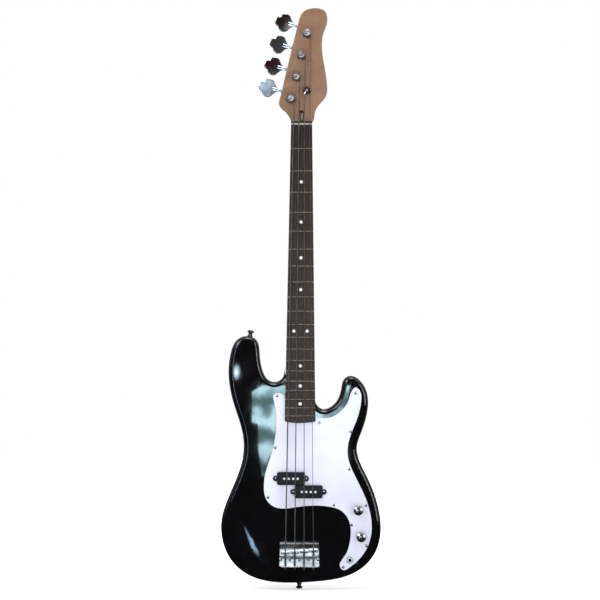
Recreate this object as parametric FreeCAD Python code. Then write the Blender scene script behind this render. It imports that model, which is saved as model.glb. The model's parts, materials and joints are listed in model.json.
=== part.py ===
"""Electric bass guitar: solid body, bolt-on neck and all hardware, one STEP file for each piece.

Lengths are millimetres. +Z runs up the neck to the headstock, the front faces -Y and +X is the treble side.
The origin is the seat of the end strap button, on the tail of the body at half its thickness.
Heights are measured forwards from the front face of the body.
"""
import FreeCAD, Part
import math
import os

from FreeCAD import Vector

# Clearances shared by all pieces
OVERRUN = 1.0
FIT = 0.05
STRING_REST_GAP = 0.15
FULL_TURN = 360.0

# Strings and scale
SCALE_LENGTH = 863.6
TAIL_TO_BRIDGE = 68.0
STRINGS = ("e", "a", "d", "g")
STRING_DIAMETERS = (2.67, 2.16, 1.65, 1.14)
NUT_SPREAD = 32.8
BRIDGE_SPREAD = 57.0
NUT_ACTION = 0.4
OCTAVE_ACTION = 2.1
BALL_RADIUS = 2.8
BALL_LENGTH = 4.5

# Body, with outline points as shares of its width and length
BODY_LENGTH = 501.5
BODY_WIDTH = 326.0
BODY_THICKNESS = 45.0
BODY_EDGE_RADIUS = 10.0
BODY_OUTLINE_SHARES = (
    (0.094, 0.861), (0.095, 0.782), (0.102, 0.724), (0.138, 0.705), (0.190, 0.713), (0.233, 0.741),
    (0.258, 0.792), (0.275, 0.827), (0.311, 0.840), (0.373, 0.822), (0.418, 0.770), (0.419, 0.692),
    (0.382, 0.610), (0.355, 0.546), (0.376, 0.491), (0.445, 0.399), (0.495, 0.299), (0.509, 0.223),
    (0.483, 0.136), (0.413, 0.072), (0.298, 0.028), (0.138, 0.007), (-0.031, 0.000), (-0.184, 0.004),
    (-0.316, 0.029), (-0.426, 0.088), (-0.483, 0.173), (-0.489, 0.251), (-0.451, 0.337), (-0.388, 0.437),
    (-0.351, 0.538), (-0.371, 0.638), (-0.420, 0.736), (-0.448, 0.847), (-0.434, 0.935), (-0.396, 0.985),
    (-0.334, 1.000), (-0.279, 0.986), (-0.255, 0.927), (-0.235, 0.857), (-0.206, 0.825), (-0.153, 0.814),
    (-0.112, 0.830), (-0.095, 0.877), (0.000, 0.941),
)
ARM_CREASE_SHARES = ((-0.327, 0.239), (-0.220, 0.121))
ARM_CONTOUR_RADIUS = 180.0
ARM_REACH_SHARE = 0.6
BELLY_DEPTH = 15.0
BELLY_INNER_SHARE = -0.16
BELLY_OUTER_SHARE = -0.40
BELLY_CENTRE_SHARE = 0.60
BELLY_HALF_SHARE = 0.34
ARM_COLUMNS = 29
ARM_ROWS = 41
BELLY_COLUMNS = 19
BELLY_ROWS = 27
CONTOUR_MARGIN_SHARE = 0.25

# Pickguard, with outline and screw places as shares of the body's width and length
GUARD_THICKNESS = 2.3
GUARD_BEVEL = 1.3
GUARD_GAP = 0.4
GUARD_OUTLINE_SHARES = (
    (-0.094, 0.760), (-0.135, 0.772), (-0.167, 0.764), (-0.166, 0.738), (-0.150, 0.670), (-0.156, 0.594),
    (-0.180, 0.522), (-0.218, 0.439), (-0.225, 0.391), (-0.204, 0.333), (-0.153, 0.307), (-0.015, 0.308),
    (0.184, 0.310), (0.261, 0.293), (0.310, 0.248), (0.315, 0.177), (0.276, 0.106), (0.251, 0.072),
    (0.268, 0.055), (0.328, 0.071), (0.396, 0.115), (0.445, 0.185), (0.450, 0.253), (0.417, 0.339),
    (0.344, 0.439), (0.301, 0.514), (0.310, 0.586), (0.359, 0.671), (0.382, 0.742), (0.369, 0.786),
    (0.345, 0.796), (0.321, 0.781), (0.298, 0.740), (0.239, 0.692), (0.156, 0.671), (0.101, 0.680),
    (0.000, 0.730),
)
GUARD_SCREW_SHARES = (
    (-0.143, 0.759), (0.345, 0.772), (0.121, 0.652), (0.316, 0.616), (-0.153, 0.550), (0.310, 0.464),
    (-0.197, 0.348), (0.215, 0.318), (0.415, 0.317), (0.325, 0.238), (0.420, 0.153), (0.273, 0.067),
)

# Neck, heel and headstock, with the headstock outline as shares of its width and length from the nut
NUT_WIDTH = 43.0
HEEL_WIDTH = 62.5
HEEL_PAST_LAST_FRET = 14.0
HEEL_BOW = 3.0
HEEL_CORNER_RADIUS = 4.0
HEEL_THICKNESS = 19.4
POCKET_DEPTH = 17.0
POCKET_GAP = 0.15
POCKET_LENGTH_BASS = 98.0
POCKET_LENGTH_TREBLE = 78.0
POCKET_WALL_TREBLE = 46.0
POCKET_SIDE_REACH = 6.0
HEEL_PAD_INSET = 0.8
HEEL_PAD_EDGE = 2.5
HEEL_PAD_RISE = 0.2
SHAFT_DEPTH_NUT = 14.5
SHAFT_DEPTH_HEEL = 17.0
HEAD_LENGTH = 238.0
HEAD_WIDTH = 97.5
HEAD_THICKNESS = 14.0
HEAD_DROP = 3.5
HEAD_EDGE_RADIUS = 2.0
HEAD_SCOOP_RADIUS = 25.0
HEAD_RAMP_RADIUS = 40.0
HEAD_OUTLINE_SHARES = (
    (-0.226, 0.034), (-0.272, 0.076), (-0.358, 0.119), (-0.441, 0.149), (-0.472, 0.176), (-0.451, 0.239),
    (-0.371, 0.378), (-0.272, 0.550), (-0.171, 0.723), (-0.092, 0.859), (-0.047, 0.922), (0.031, 0.971),
    (0.164, 0.996), (0.328, 1.000), (0.462, 0.978), (0.525, 0.920), (0.509, 0.857), (0.441, 0.782),
    (0.417, 0.706), (0.433, 0.592), (0.487, 0.471), (0.526, 0.353), (0.521, 0.267), (0.446, 0.214),
    (0.354, 0.172), (0.283, 0.116), (0.240, 0.034), (0.000, -0.034),
)

# Fretboard, frets, nut and markers
BOARD_THICKNESS = 6.0
BOARD_RADIUS = 241.0
BOARD_PAST_NUT = 4.5
FRET_COUNT = 20
OCTAVE_FRET = 12
FRET_WIDTH = 2.4
FRET_HEIGHT = 1.1
FRET_TANG_WIDTH = 0.5
FRET_TANG_DEPTH = 1.6
NUT_THICKNESS = 3.5
NUT_SEAT_DEPTH = 3.0
NUT_STAND = 2.7
NUT_SLOT_GAP = 0.4
MARKED_FRETS = (3, 5, 7, 9, 12, 15, 17, 19)
DOT_RADIUS = 3.2
DOT_DEPTH = 1.5
OCTAVE_DOT_SPREAD = 27.0
SIDE_DOT_RADIUS = 1.1
SIDE_DOT_DROP = 3.9

# Truss rod
ROD_RADIUS = 2.4
ROD_AXIS_DEPTH = 7.5
ROD_FROM_HEEL = 30.0
ROD_NUT_RADIUS = 3.4
ROD_NUT_LENGTH = 12.0
ROD_NUT_FROM_NUT = 13.0
ROD_KEY_WIDTH = 3.2
ROD_KEY_DEPTH = 6.0
ACCESS_WIDTH = 8.0
ACCESS_LENGTH = 19.0
ACCESS_FROM_NUT = 11.0

# Neck plate
PLATE_WIDTH = 51.0
PLATE_LENGTH = 63.5
PLATE_THICKNESS = 1.8
PLATE_CORNER_RADIUS = 6.0
PLATE_FROM_HEEL = 6.0
PLATE_SCREW_INSET = 6.5

# Bridge
BRIDGE_WIDTH = 80.0
BRIDGE_LENGTH = 49.0
BRIDGE_BEHIND_SCALE = 35.0
BRIDGE_THICKNESS = 2.0
BRIDGE_FLANGE_HEIGHT = 13.6
BRIDGE_BEND_RADIUS = 1.0
BRIDGE_SCREW_SPACING = 19.0
BRIDGE_SCREW_FROM_REAR = 15.2
STRING_HOLE_HEIGHT = 10.2
STRING_HOLE_RADIUS = 1.9
FLANGE_REAR_GAP = 0.5
COMPENSATION = (5.5, 4.0, 2.5, 1.0)
SADDLE_RADIUS = 4.0
SADDLE_LENGTH = 17.4
SADDLE_GROOVE_RADIUS = 1.6
SADDLE_GROOVE_DEPTH = 1.05
SADDLE_EDGE = 0.6
HEIGHT_SCREW_RADIUS = 1.5
HEIGHT_SCREW_SPREAD = 11.6
HEIGHT_SCREW_SINK = 1.0
HEIGHT_SCREW_STAND = 0.3
HEX_KEY_WIDTH = 1.5
HEX_KEY_DEPTH = 2.5
INTONATION_RADIUS = 1.5
INTONATION_HEIGHT = 4.5
INTONATION_PAST_SADDLE = 9.0
INTONATION_SLACK = 0.7
INTONATION_HEAD_RADIUS = 2.4
INTONATION_HEAD_HEIGHT = 1.9
SPRING_WIRE = 0.7
SPRING_DIAMETER = 4.4
SPRING_TURNS = 9
SPRING_END_GAP = 0.2

# Split pickup, two halves with their screws, poles, coils and pads
PICKUP_LENGTH = 56.4
PICKUP_WIDTH = 26.0
PICKUP_CORNER_RADIUS = 4.0
PICKUP_EDGE_RADIUS = 1.2
PICKUP_TOP = 7.5
PICKUP_HEIGHT = 17.0
PICKUP_WALL = 1.8
PICKUP_FROM_SCALE = (144.6, 117.9)
PICKUP_OFFSETS = (-17.9, 18.0)
EAR_RADIUS = 5.4
EAR_SPREAD = 62.4
EAR_TOP = 3.4
EAR_THICKNESS = 3.2
POLE_RADIUS = 2.4
POLE_PITCH = 9.2
POLE_COUNT = 4
POLE_STAND = 0.5
FLATWORK_THICKNESS = 2.0
COIL_MARGIN = 2.5
PICKUP_CAVITY_DEPTH = 23.0
PICKUP_CAVITY_GAP = 2.0
PICKUP_TRAVEL = 2.0
FOAM_MARGIN = 7.0
FOAM_GAP = 0.2

# Controls, with places as shares of the body's width and length
VOLUME_SHARES = (0.366, 0.297)
TONE_SHARES = (0.385, 0.189)
JACK_SHARES = (0.315, 0.095)
CONTROL_CAVITY_RADIUS = 17.0
JACK_CAVITY_RADIUS = 13.5
CONTROL_CAVITY_DEPTH = 36.0
CHANNEL_WIDTH = 9.0
CHANNEL_DEPTH = 20.0
POT_RADIUS = 12.0
POT_HEIGHT = 11.0
POT_BUSHING_RADIUS = 4.7
POT_BUSHING_STAND = 4.0
POT_SHAFT_RADIUS = 3.0
POT_SHAFT_SINK = 2.0
LUG_COUNT = 3
LUG_SPACING = 5.0
LUG_WIDTH = 2.2
LUG_THICKNESS = 0.8
LUG_LENGTH = 5.0
LUG_DROP = 3.0
NUT_ACROSS_FLATS = 12.0
NUT_HEIGHT = 2.2
WASHER_RADIUS = 7.2
WASHER_THICKNESS = 0.6
KNOB_RADIUS = 9.75
KNOB_HEIGHT = 15.5
KNOB_CLEARANCE = 0.9
KNOB_CROWN = 3.2
KNOB_CAP_THICKNESS = 3.0
KNOB_RECESS_RADIUS = 8.0
KNOB_RECESS_GAP = 0.6
KNOB_GROOVE_DEPTH = 0.5
KNOB_GROOVE_COUNT = 36
KNOB_GROOVE_WIDTH = 0.7
SET_SCREW_RADIUS = 1.4
SET_SCREW_LENGTH = 4.0
JACK_BORE_RADIUS = 3.2
JACK_BUSHING_RADIUS = 4.75
JACK_BUSHING_STAND = 4.6
JACK_FLANGE_RADIUS = 8.5
JACK_FLANGE_THICKNESS = 2.6
JACK_LEAF_LENGTH = 20.0
JACK_LEAF_WIDTH = 6.0
JACK_LEAF_THICKNESS = 0.8
JACK_STACK_WIDTH = 4.0
JACK_STACK_LENGTH = 5.0
CAPACITOR_RADIUS = 5.0
CAPACITOR_THICKNESS = 3.0
CAPACITOR_EDGE = 1.0
WIRE_RADIUS = 0.8
WIRE_BEND_RADIUS = 5.0
WIRE_DROP = 2.4
LEAD_START_SHARE = 0.45
LINK_DEPTH = 16.0
JACK_LEAD_DEPTH = 26.0
GROUND_HOLE_RADIUS = 1.4
GROUND_FROM_SCALE = 8.0
GROUND_OFFSET = 28.0

# Strap buttons, the horn one placed by shares of the body's width and length
HORN_BUTTON_SHARES = (-0.316, 1.000)
HORN_BUTTON_LEAN = 9.0
BUTTON_BASE_RADIUS = 5.6
BUTTON_WAIST_RADIUS = 3.9
BUTTON_HEAD_RADIUS = 6.8
BUTTON_HEIGHT = 12.5
BUTTON_RIM = 1.6
BUTTON_SEAT_SINK = 0.9

# String tree
TREE_OFFSET = 10.0
TREE_FROM_NUT = 69.7
TREE_RADIUS = 7.8
TREE_STEM_RADIUS = 2.6
TREE_THICKNESS = 1.8
TREE_STRING_HEIGHT = 3.2
TREE_SLOPE_ROOM = 1.0

# Tuning machines, in a frame with x along the key, y up the row of posts and z out of the headstock's back
FIRST_POST_OFFSET = -22.2
FIRST_POST_FROM_NUT = 53.1
TUNER_SPACING = 45.6
TUNER_LEAN = 13.63
POST_RADIUS = 6.3
POST_STAND = 16.5
POST_CHAMFER = 0.7
POST_SLOT_WIDTH = 6.4
POST_SLOT_DEPTH = 6.6
POST_HUB_RADIUS = 7.0
POST_TENON_WIDTH = 6.4
BUSHING_RADIUS = 8.3
BUSHING_FLANGE_RADIUS = 9.4
BUSHING_FLANGE_THICKNESS = 2.2
BUSHING_LENGTH = 10.0
GEAR_TEETH = 20
GEAR_MODULE = 0.85
GEAR_THICKNESS = 5.0
TOOTH_RISE = 0.8
TOOTH_DROP = 1.0
TOOTH_SLACK = 0.15
PRESSURE_ANGLE = 20.0
WORM_RADIUS = 3.75
WORM_TURNS = 4
WORM_STEPS = 14
WORM_SINK = 0.3
WORM_AXIS_HEIGHT = 7.2
KEY_SHAFT_RADIUS = 2.5
EAR_PLATE_THICKNESS = 2.0
EAR_PLATE_WIDTH = 9.0
EAR_PLATE_GAP = 0.15
WORM_SHOULDER = 1.0
TUNER_PLATE_THICKNESS = 1.6
TUNER_PLATE_WIDTH = 32.0
TUNER_PLATE_BELOW = 15.0
TUNER_PLATE_ABOVE = 22.5
TUNER_PLATE_CORNER = 5.0
TUNER_SCREW_INSET = 3.4
KEY_STEM_START = 23.0
KEY_STEM_END = 42.0
KEY_STEM_START_RADIUS = 3.1
KEY_STEM_END_RADIUS = 4.4
KEY_LEAF_THICKNESS = 4.6
KEY_LEAF_EDGE = 1.7
KEY_SIDE_LEAF_RADIUS = 11.3
KEY_SIDE_LEAF_REACH = 50.0
KEY_SIDE_LEAF_SPREAD = 15.6
KEY_END_LEAF_RADIUS = 10.6
KEY_END_LEAF_REACH = 59.6
KEY_FLARE_START = 26.0
KEY_FLARE_ANGLE = 150.0
WINDING_TURNS = (1, 2, 2, 3)
WINDING_HEIGHT = 4.2
WINDING_STEP_GAP = 1.4
WINDING_QUARTERS = 4
TAIL_BEND_SHARE = 1.05

# Screws: shank radius, length under the head, head radius, head height
GUARD_SCREW = (1.4, 13.0, 3.1, 0.8)
PICKUP_SCREW = (1.3, 33.0, 2.4, 1.6)
BRIDGE_SCREW = (1.6, 30.0, 3.5, 2.2)
NECK_SCREW = (2.2, 43.0, 3.9, 1.4)
TUNER_SCREW = (1.1, 9.0, 2.3, 1.4)
TREE_SCREW = (1.3, 14.0, 2.6, 1.0)
BUTTON_SCREW = (2.0, 40.0, 3.8, 1.0)
GEAR_SCREW = (1.6, 6.0, 4.0, 1.8)
SCREW_TIP_SHARE = 2.0
HEAD_RIM_SHARE = 0.35
RECESS_WIDTH_SHARE = 0.24
RECESS_LENGTH_SHARE = 1.15
RECESS_DEPTH_SHARE = 0.8

# Places that follow from the values above
NUT_Z = TAIL_TO_BRIDGE + SCALE_LENGTH
BACK_Y = BODY_THICKNESS / 2
HEEL_PAD_Y = BACK_Y + HEEL_PAD_RISE
HEEL_Z = NUT_Z - SCALE_LENGTH * (1 - 2 ** (-FRET_COUNT / OCTAVE_FRET)) - HEEL_PAST_LAST_FRET
NECK_TOP_HEIGHT = HEEL_THICKNESS - POCKET_DEPTH
BOARD_TOP_HEIGHT = NECK_TOP_HEIGHT + BOARD_THICKNESS
FORWARD = Vector(0, -1, 0)
BACKWARD = Vector(0, 1, 0)
UP = Vector(0, 0, 1)


def front(height):
    """Y of a height in front of the body's front face."""
    return -BODY_THICKNESS / 2 - height


NECK_TOP_Y = front(NECK_TOP_HEIGHT)
BOARD_TOP_Y = front(BOARD_TOP_HEIGHT)
BOARD_AXIS_Y = BOARD_TOP_Y + BOARD_RADIUS
HEAD_FACE_Y = NECK_TOP_Y + HEAD_DROP
HEAD_BACK_Y = HEAD_FACE_Y + HEAD_THICKNESS
BRIDGE_REAR_Z = TAIL_TO_BRIDGE - BRIDGE_BEHIND_SCALE
GEAR_RADIUS = GEAR_MODULE * GEAR_TEETH / 2
WORM_PITCH = math.pi * GEAR_MODULE


# Shapes used by many pieces

def on_body(shares):
    """X and Z of a point given as shares of the body's width and length."""
    return shares[0] * BODY_WIDTH, shares[1] * BODY_LENGTH


def closed_spline(points):
    """Smooth closed wire through points in the XZ plane."""
    curve = Part.BSplineCurve()
    curve.interpolate(Points=[Vector(x, 0, z) for x, z in points], PeriodicFlag=True)
    return Part.Wire(curve.toShape())


def slab(wire, y_from, y_to):
    """Solid between two Y planes with the outline of a wire in the XZ plane."""
    face = Part.Face(wire)
    face.translate(Vector(0, y_from, 0))
    return face.extrude(Vector(0, y_to - y_from, 0))


def block(x_from, x_to, y_from, y_to, z_from, z_to):
    corner = Vector(x_from, y_from, z_from)
    return Part.makeBox(x_to - x_from, y_to - y_from, z_to - z_from, corner)


def rod(radius, start, end):
    """Cylinder between two points."""
    return Part.makeCylinder(radius, (end - start).Length, start, end - start)


def round_edges(solid, radius, chosen):
    """Fillet the edges for which a test on their bounding box holds."""
    return solid.makeFillet(radius, [edge for edge in solid.Edges if chosen(edge.BoundBox)])


def rounded_block(x_from, x_to, y_from, y_to, z_from, z_to, radius):
    """Block whose four edges along Y are round."""
    solid = block(x_from, x_to, y_from, y_to, z_from, z_to)
    return round_edges(solid, radius, lambda box: box.YLength > max(box.XLength, box.ZLength))


def turned(profile, base, direction):
    """Solid turned about an axis from (radius, along) points; four numbers give an arc's end and middle."""
    edges = []
    previous = profile[-1]
    for entry in profile:
        start = Vector(previous[0], 0, previous[1])
        end = Vector(entry[0], 0, entry[1])
        if len(entry) == 4:
            edges.append(Part.Arc(start, Vector(entry[2], 0, entry[3]), end).toShape())
        else:
            edges.append(Part.makeLine(start, end))
        previous = entry
    face = Part.Face(Part.Wire(edges))
    solid = face.revolve(Vector(0, 0, 0), UP, FULL_TURN)
    solid.Placement = FreeCAD.Placement(base, FreeCAD.Rotation(UP, direction))
    return solid


def crown(radius, low, high):
    """Profile entry for a spherical crown from a rim at one level to the axis at another."""
    rise = high - low
    sphere = (radius ** 2 + rise ** 2) / (2 * rise)
    half_angle = math.asin(min(radius / sphere, 1)) / 2
    return 0, high, sphere * math.sin(half_angle), high - sphere * (1 - math.cos(half_angle))


def hexagon(across_flats, base, direction, height):
    """Six-sided prism along a direction."""
    corner = across_flats / math.sqrt(3)
    angles = [math.pi * k / 3 for k in range(7)]
    points = [Vector(math.cos(angle), math.sin(angle), 0) * corner for angle in angles]
    solid = Part.Face(Part.makePolygon(points)).extrude(UP * height)
    solid.Placement = FreeCAD.Placement(base, FreeCAD.Rotation(UP, direction))
    return solid


def cross_recess(head_radius, head_height, top):
    """Cross-shaped cutter in the top of a screw head about the Z axis."""
    width = head_radius * RECESS_WIDTH_SHARE
    length = head_radius * RECESS_LENGTH_SHARE
    low = top - head_height * RECESS_DEPTH_SHARE
    bars = []
    for x_size, y_size in ((width, length), (length, width)):
        bars.append(block(-x_size / 2, x_size / 2, -y_size / 2, y_size / 2, low, top + OVERRUN))
    return bars[0].fuse(bars[1])


def screw(sizes, base, direction, sunk):
    """Wood screw whose head faces along a direction, sunk in a cone or lying on the surface."""
    shank, length, head, height = sizes
    seat = shank - head if sunk else 0
    rim = 0 if sunk else height * HEAD_RIM_SHARE
    profile = [(0, -length), (shank, -length + shank * SCREW_TIP_SHARE), (shank, seat), (head, 0)]
    if not sunk:
        profile.append((head, rim))
    profile.append(crown(head, rim, height))
    solid = turned(profile, Vector(0, 0, 0), UP).cut(cross_recess(head, height, height))
    solid.Placement = FreeCAD.Placement(base, FreeCAD.Rotation(UP, direction))
    return solid


def screw_hole(sizes, base, direction, sunk, extra=0):
    """Cutter for the hole that a screw sits in."""
    shank, length, head = sizes[:3]
    low = -length - extra - FIT
    profile = [(0, low), (shank + FIT, low)]
    if sunk:
        profile += [(shank + FIT, shank - head), (head + FIT, 0), (head + FIT, OVERRUN), (0, OVERRUN)]
    else:
        profile += [(shank + FIT, OVERRUN), (0, OVERRUN)]
    return turned(profile, base, direction)


def rounded_path(points, radii):
    """Straight runs through points, joined by tangent arcs at the inner points."""
    edges = []
    start = points[0]
    for before, corner, after, radius in zip(points, points[1:], points[2:], radii):
        ahead = (corner - before).normalize()
        leaving = (after - corner).normalize()
        half_turn = ahead.getAngle(leaving) / 2
        reach = radius * math.tan(half_turn)
        inward = (leaving - ahead).normalize()
        middle = corner + inward * (radius / math.cos(half_turn) - radius)
        edges.append(Part.makeLine(start, corner - ahead * reach))
        start = corner + leaving * reach
        edges.append(Part.Arc(corner - ahead * reach, middle, start).toShape())
    edges.append(Part.makeLine(start, points[-1]))
    return edges


def arc_edge(start, tangent_meet, end):
    """Arc from start to end whose end tangents meet at a point."""
    weight = math.cos((tangent_meet - start).getAngle(end - tangent_meet) / 2)
    middle = (start + tangent_meet * (2 * weight) + end) * (1 / (2 + 2 * weight))
    return Part.Arc(start, middle, end).toShape()


def biarc(start, start_tangent, end, end_tangent):
    """Two arcs that join two points with given tangents."""
    chord = end - start
    tangents = start_tangent + end_tangent
    a = 2 * (start_tangent.dot(end_tangent) - 1)
    b = -2 * chord.dot(tangents)
    c = chord.dot(chord)
    reach = (-b - math.sqrt(b * b - 4 * a * c)) / (2 * a)
    first = start + start_tangent * reach
    second = end - end_tangent * reach
    joint = (first + second) / 2
    return [arc_edge(start, first, joint), arc_edge(joint, second, end)]


def tube(edges, radius):
    """Round tube along edges in order."""
    path = Part.Wire(edges)
    start = edges[0].firstVertex(True).Point
    tangent = edges[0].tangentAt(edges[0].FirstParameter)
    section = Part.Wire(Part.makeCircle(radius, start, tangent))
    return path.makePipeShell([section], True, False)


def least_gap(edges, diameter):
    """Least gap of a tube to itself, from points along it that are more than three diameters apart."""
    path = Part.Wire(edges)
    step = diameter / 2
    points = path.discretize(Distance=step)
    apart = 2 * 3
    pairs = ((p - q).Length for i, p in enumerate(points) for q in points[i + apart:])
    return min(pairs) - diameter


# Body and pickguard

def half_width(z):
    """Half of the neck's width at a height along it."""
    share = (NUT_Z - z) / (NUT_Z - HEEL_Z)
    return (NUT_WIDTH + (HEEL_WIDTH - NUT_WIDTH) * share) / 2


def heel_shape(gap, y_from, y_to, z_top):
    """Tapered slab with the bowed end of the neck's heel, grown by a gap."""
    z_corner = HEEL_Z + HEEL_BOW - gap
    low = half_width(z_corner) + gap
    high = half_width(z_top) + gap
    end = Vector(0, 0, HEEL_Z - gap)
    corners = [Vector(-high, 0, z_top), Vector(-low, 0, z_corner),
               Vector(low, 0, z_corner), Vector(high, 0, z_top)]
    edges = [
        Part.makeLine(corners[0], corners[1]),
        Part.Arc(corners[1], end, corners[2]).toShape(),
        Part.makeLine(corners[2], corners[3]),
        Part.makeLine(corners[3], corners[0]),
    ]
    solid = slab(Part.Wire(edges), y_from, y_to)
    limit = (z_corner + z_top) / 2
    return round_edges(solid, HEEL_CORNER_RADIUS + gap,
                       lambda box: box.YLength > max(box.XLength, box.ZLength) and box.ZMax < limit)


def arm_depth(x_share, z_share):
    """Depth of the forearm contour at a place given in shares of the body."""
    (x_high, z_high), (x_low, z_low) = (on_body(shares) for shares in ARM_CREASE_SHARES)
    x, z = on_body((x_share, z_share))
    along = Vector(x_low - x_high, 0, z_low - z_high).normalize()
    outward = Vector(along.z, 0, -along.x)
    out = Vector(x - x_high, 0, z - z_high).dot(outward)
    out = min(max(out, 0), ARM_CONTOUR_RADIUS * ARM_REACH_SHARE)
    return ARM_CONTOUR_RADIUS - math.sqrt(ARM_CONTOUR_RADIUS ** 2 - out ** 2)


def belly_depth(x_share, z_share):
    """Depth of the belly contour at a place given in shares of the body."""
    ramp = (x_share - BELLY_INNER_SHARE) / (BELLY_OUTER_SHARE - BELLY_INNER_SHARE)
    ramp = min(max(ramp, 0), 1)
    swell = min(abs(z_share - BELLY_CENTRE_SHARE) / BELLY_HALF_SHARE, 1)
    return BELLY_DEPTH * ramp ** 2 * (3 - 2 * ramp) * math.cos(swell * math.pi / 2) ** 2


def contour_blank(columns, rows, face_y, depth, inward):
    """Stock that runs inwards from a smooth face, whose poles lie at a depth below a plane."""
    poles = []
    for i in range(columns):
        x_share = (i / (columns - 1) - 1 / 2) * (1 + 2 * CONTOUR_MARGIN_SHARE)
        column = []
        for j in range(rows):
            z_share = j / (rows - 1) * (1 + 2 * CONTOUR_MARGIN_SHARE) - CONTOUR_MARGIN_SHARE
            x, z = on_body((x_share, z_share))
            column.append(Vector(x, face_y, z) + inward * depth(x_share, z_share))
        poles.append(column)
    degree = 3

    def knots(count):
        spans = count - degree
        ends = [degree + 1]
        return ends + [1] * (spans - 1) + ends, [k / spans for k in range(spans + 1)]

    u_mults, u_knots = knots(columns)
    v_mults, v_knots = knots(rows)
    surface = Part.BSplineSurface()
    surface.buildFromPolesMultsKnots(poles, u_mults, v_mults, u_knots, v_knots, False, False, degree, degree)
    return surface.toShape().extrude(inward * (2 * BODY_THICKNESS))


def pickup_places():
    """Centre of each pickup half, bass first, at the body's front face."""
    return [Vector(offset, front(0), TAIL_TO_BRIDGE + along)
            for offset, along in zip(PICKUP_OFFSETS, PICKUP_FROM_SCALE)]


def ear_places(centre):
    return [centre + Vector(side * EAR_SPREAD / 2, 0, 0) for side in (-1, 1)]


def pickup_outline(centre, gap, y_from, y_to):
    """Slab with the outline of a pickup cover and its two ears, grown by a gap."""
    half_length = PICKUP_LENGTH / 2 + gap
    half_breadth = PICKUP_WIDTH / 2 + gap
    solid = rounded_block(centre.x - half_length, centre.x + half_length, y_from, y_to,
                          centre.z - half_breadth, centre.z + half_breadth, PICKUP_CORNER_RADIUS + gap)
    ears = [rod(EAR_RADIUS + gap, Vector(ear.x, y_from, ear.z), Vector(ear.x, y_to, ear.z))
            for ear in ear_places(centre)]
    return solid.fuse(ears).removeSplitter()


def control_places():
    """Centres of volume, tone and jack at the body's front face."""
    places = []
    for shares in (VOLUME_SHARES, TONE_SHARES, JACK_SHARES):
        x, z = on_body(shares)
        places.append(Vector(x, front(0), z))
    return places


def trench(start, end, width, depth):
    """Cutter for a straight channel down from the front face between two places."""
    along = (end - start).normalize()
    across = Vector(-along.z, 0, along.x) * (width / 2)
    corners = [start + across, end + across, end - across, start - across, start + across]
    face = Part.Face(Part.makePolygon(corners))
    face.translate(FORWARD * OVERRUN)
    return face.extrude(BACKWARD * (depth + OVERRUN))


def ground_wire_places():
    """Where the ground wire meets the bridge plate and where it enters the jack's cavity."""
    jack = control_places()[2]
    start = Vector(GROUND_OFFSET, front(0), TAIL_TO_BRIDGE - GROUND_FROM_SCALE)
    end = Vector(jack.x - JACK_CAVITY_RADIUS / 2, front(-CHANNEL_DEPTH), jack.z)
    return start, end


def neck_screw_places():
    """Centres of the neck screws on the back of the neck plate."""
    x_side = PLATE_WIDTH / 2 - PLATE_SCREW_INSET
    z_low = HEEL_Z + PLATE_FROM_HEEL + PLATE_SCREW_INSET
    z_high = HEEL_Z + PLATE_FROM_HEEL + PLATE_LENGTH - PLATE_SCREW_INSET
    return [Vector(x, HEEL_PAD_Y + PLATE_THICKNESS, z) for x in (-x_side, x_side) for z in (z_low, z_high)]


def guard_screw_places():
    return [Vector(x, front(GUARD_THICKNESS), z) for x, z in map(on_body, GUARD_SCREW_SHARES)]


def bridge_screw_places():
    z = BRIDGE_REAR_Z + BRIDGE_SCREW_FROM_REAR
    return [Vector(k * BRIDGE_SCREW_SPACING, front(BRIDGE_THICKNESS), z) for k in (-2, -1, 0, 1, 2)]


def pickup_screw_places(centre):
    return [ear + FORWARD * EAR_TOP for ear in ear_places(centre)]


def strap_button_places():
    """Seat and outward direction of the end button and the horn button."""
    lean = math.radians(HORN_BUTTON_LEAN)
    x, z = on_body(HORN_BUTTON_SHARES)
    horn_axis = Vector(math.sin(lean), 0, math.cos(lean))
    horn_seat = Vector(x, 0, z) - horn_axis * BUTTON_SEAT_SINK
    return [(Vector(0, 0, 0), UP * -1), (horn_seat, horn_axis)]


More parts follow.
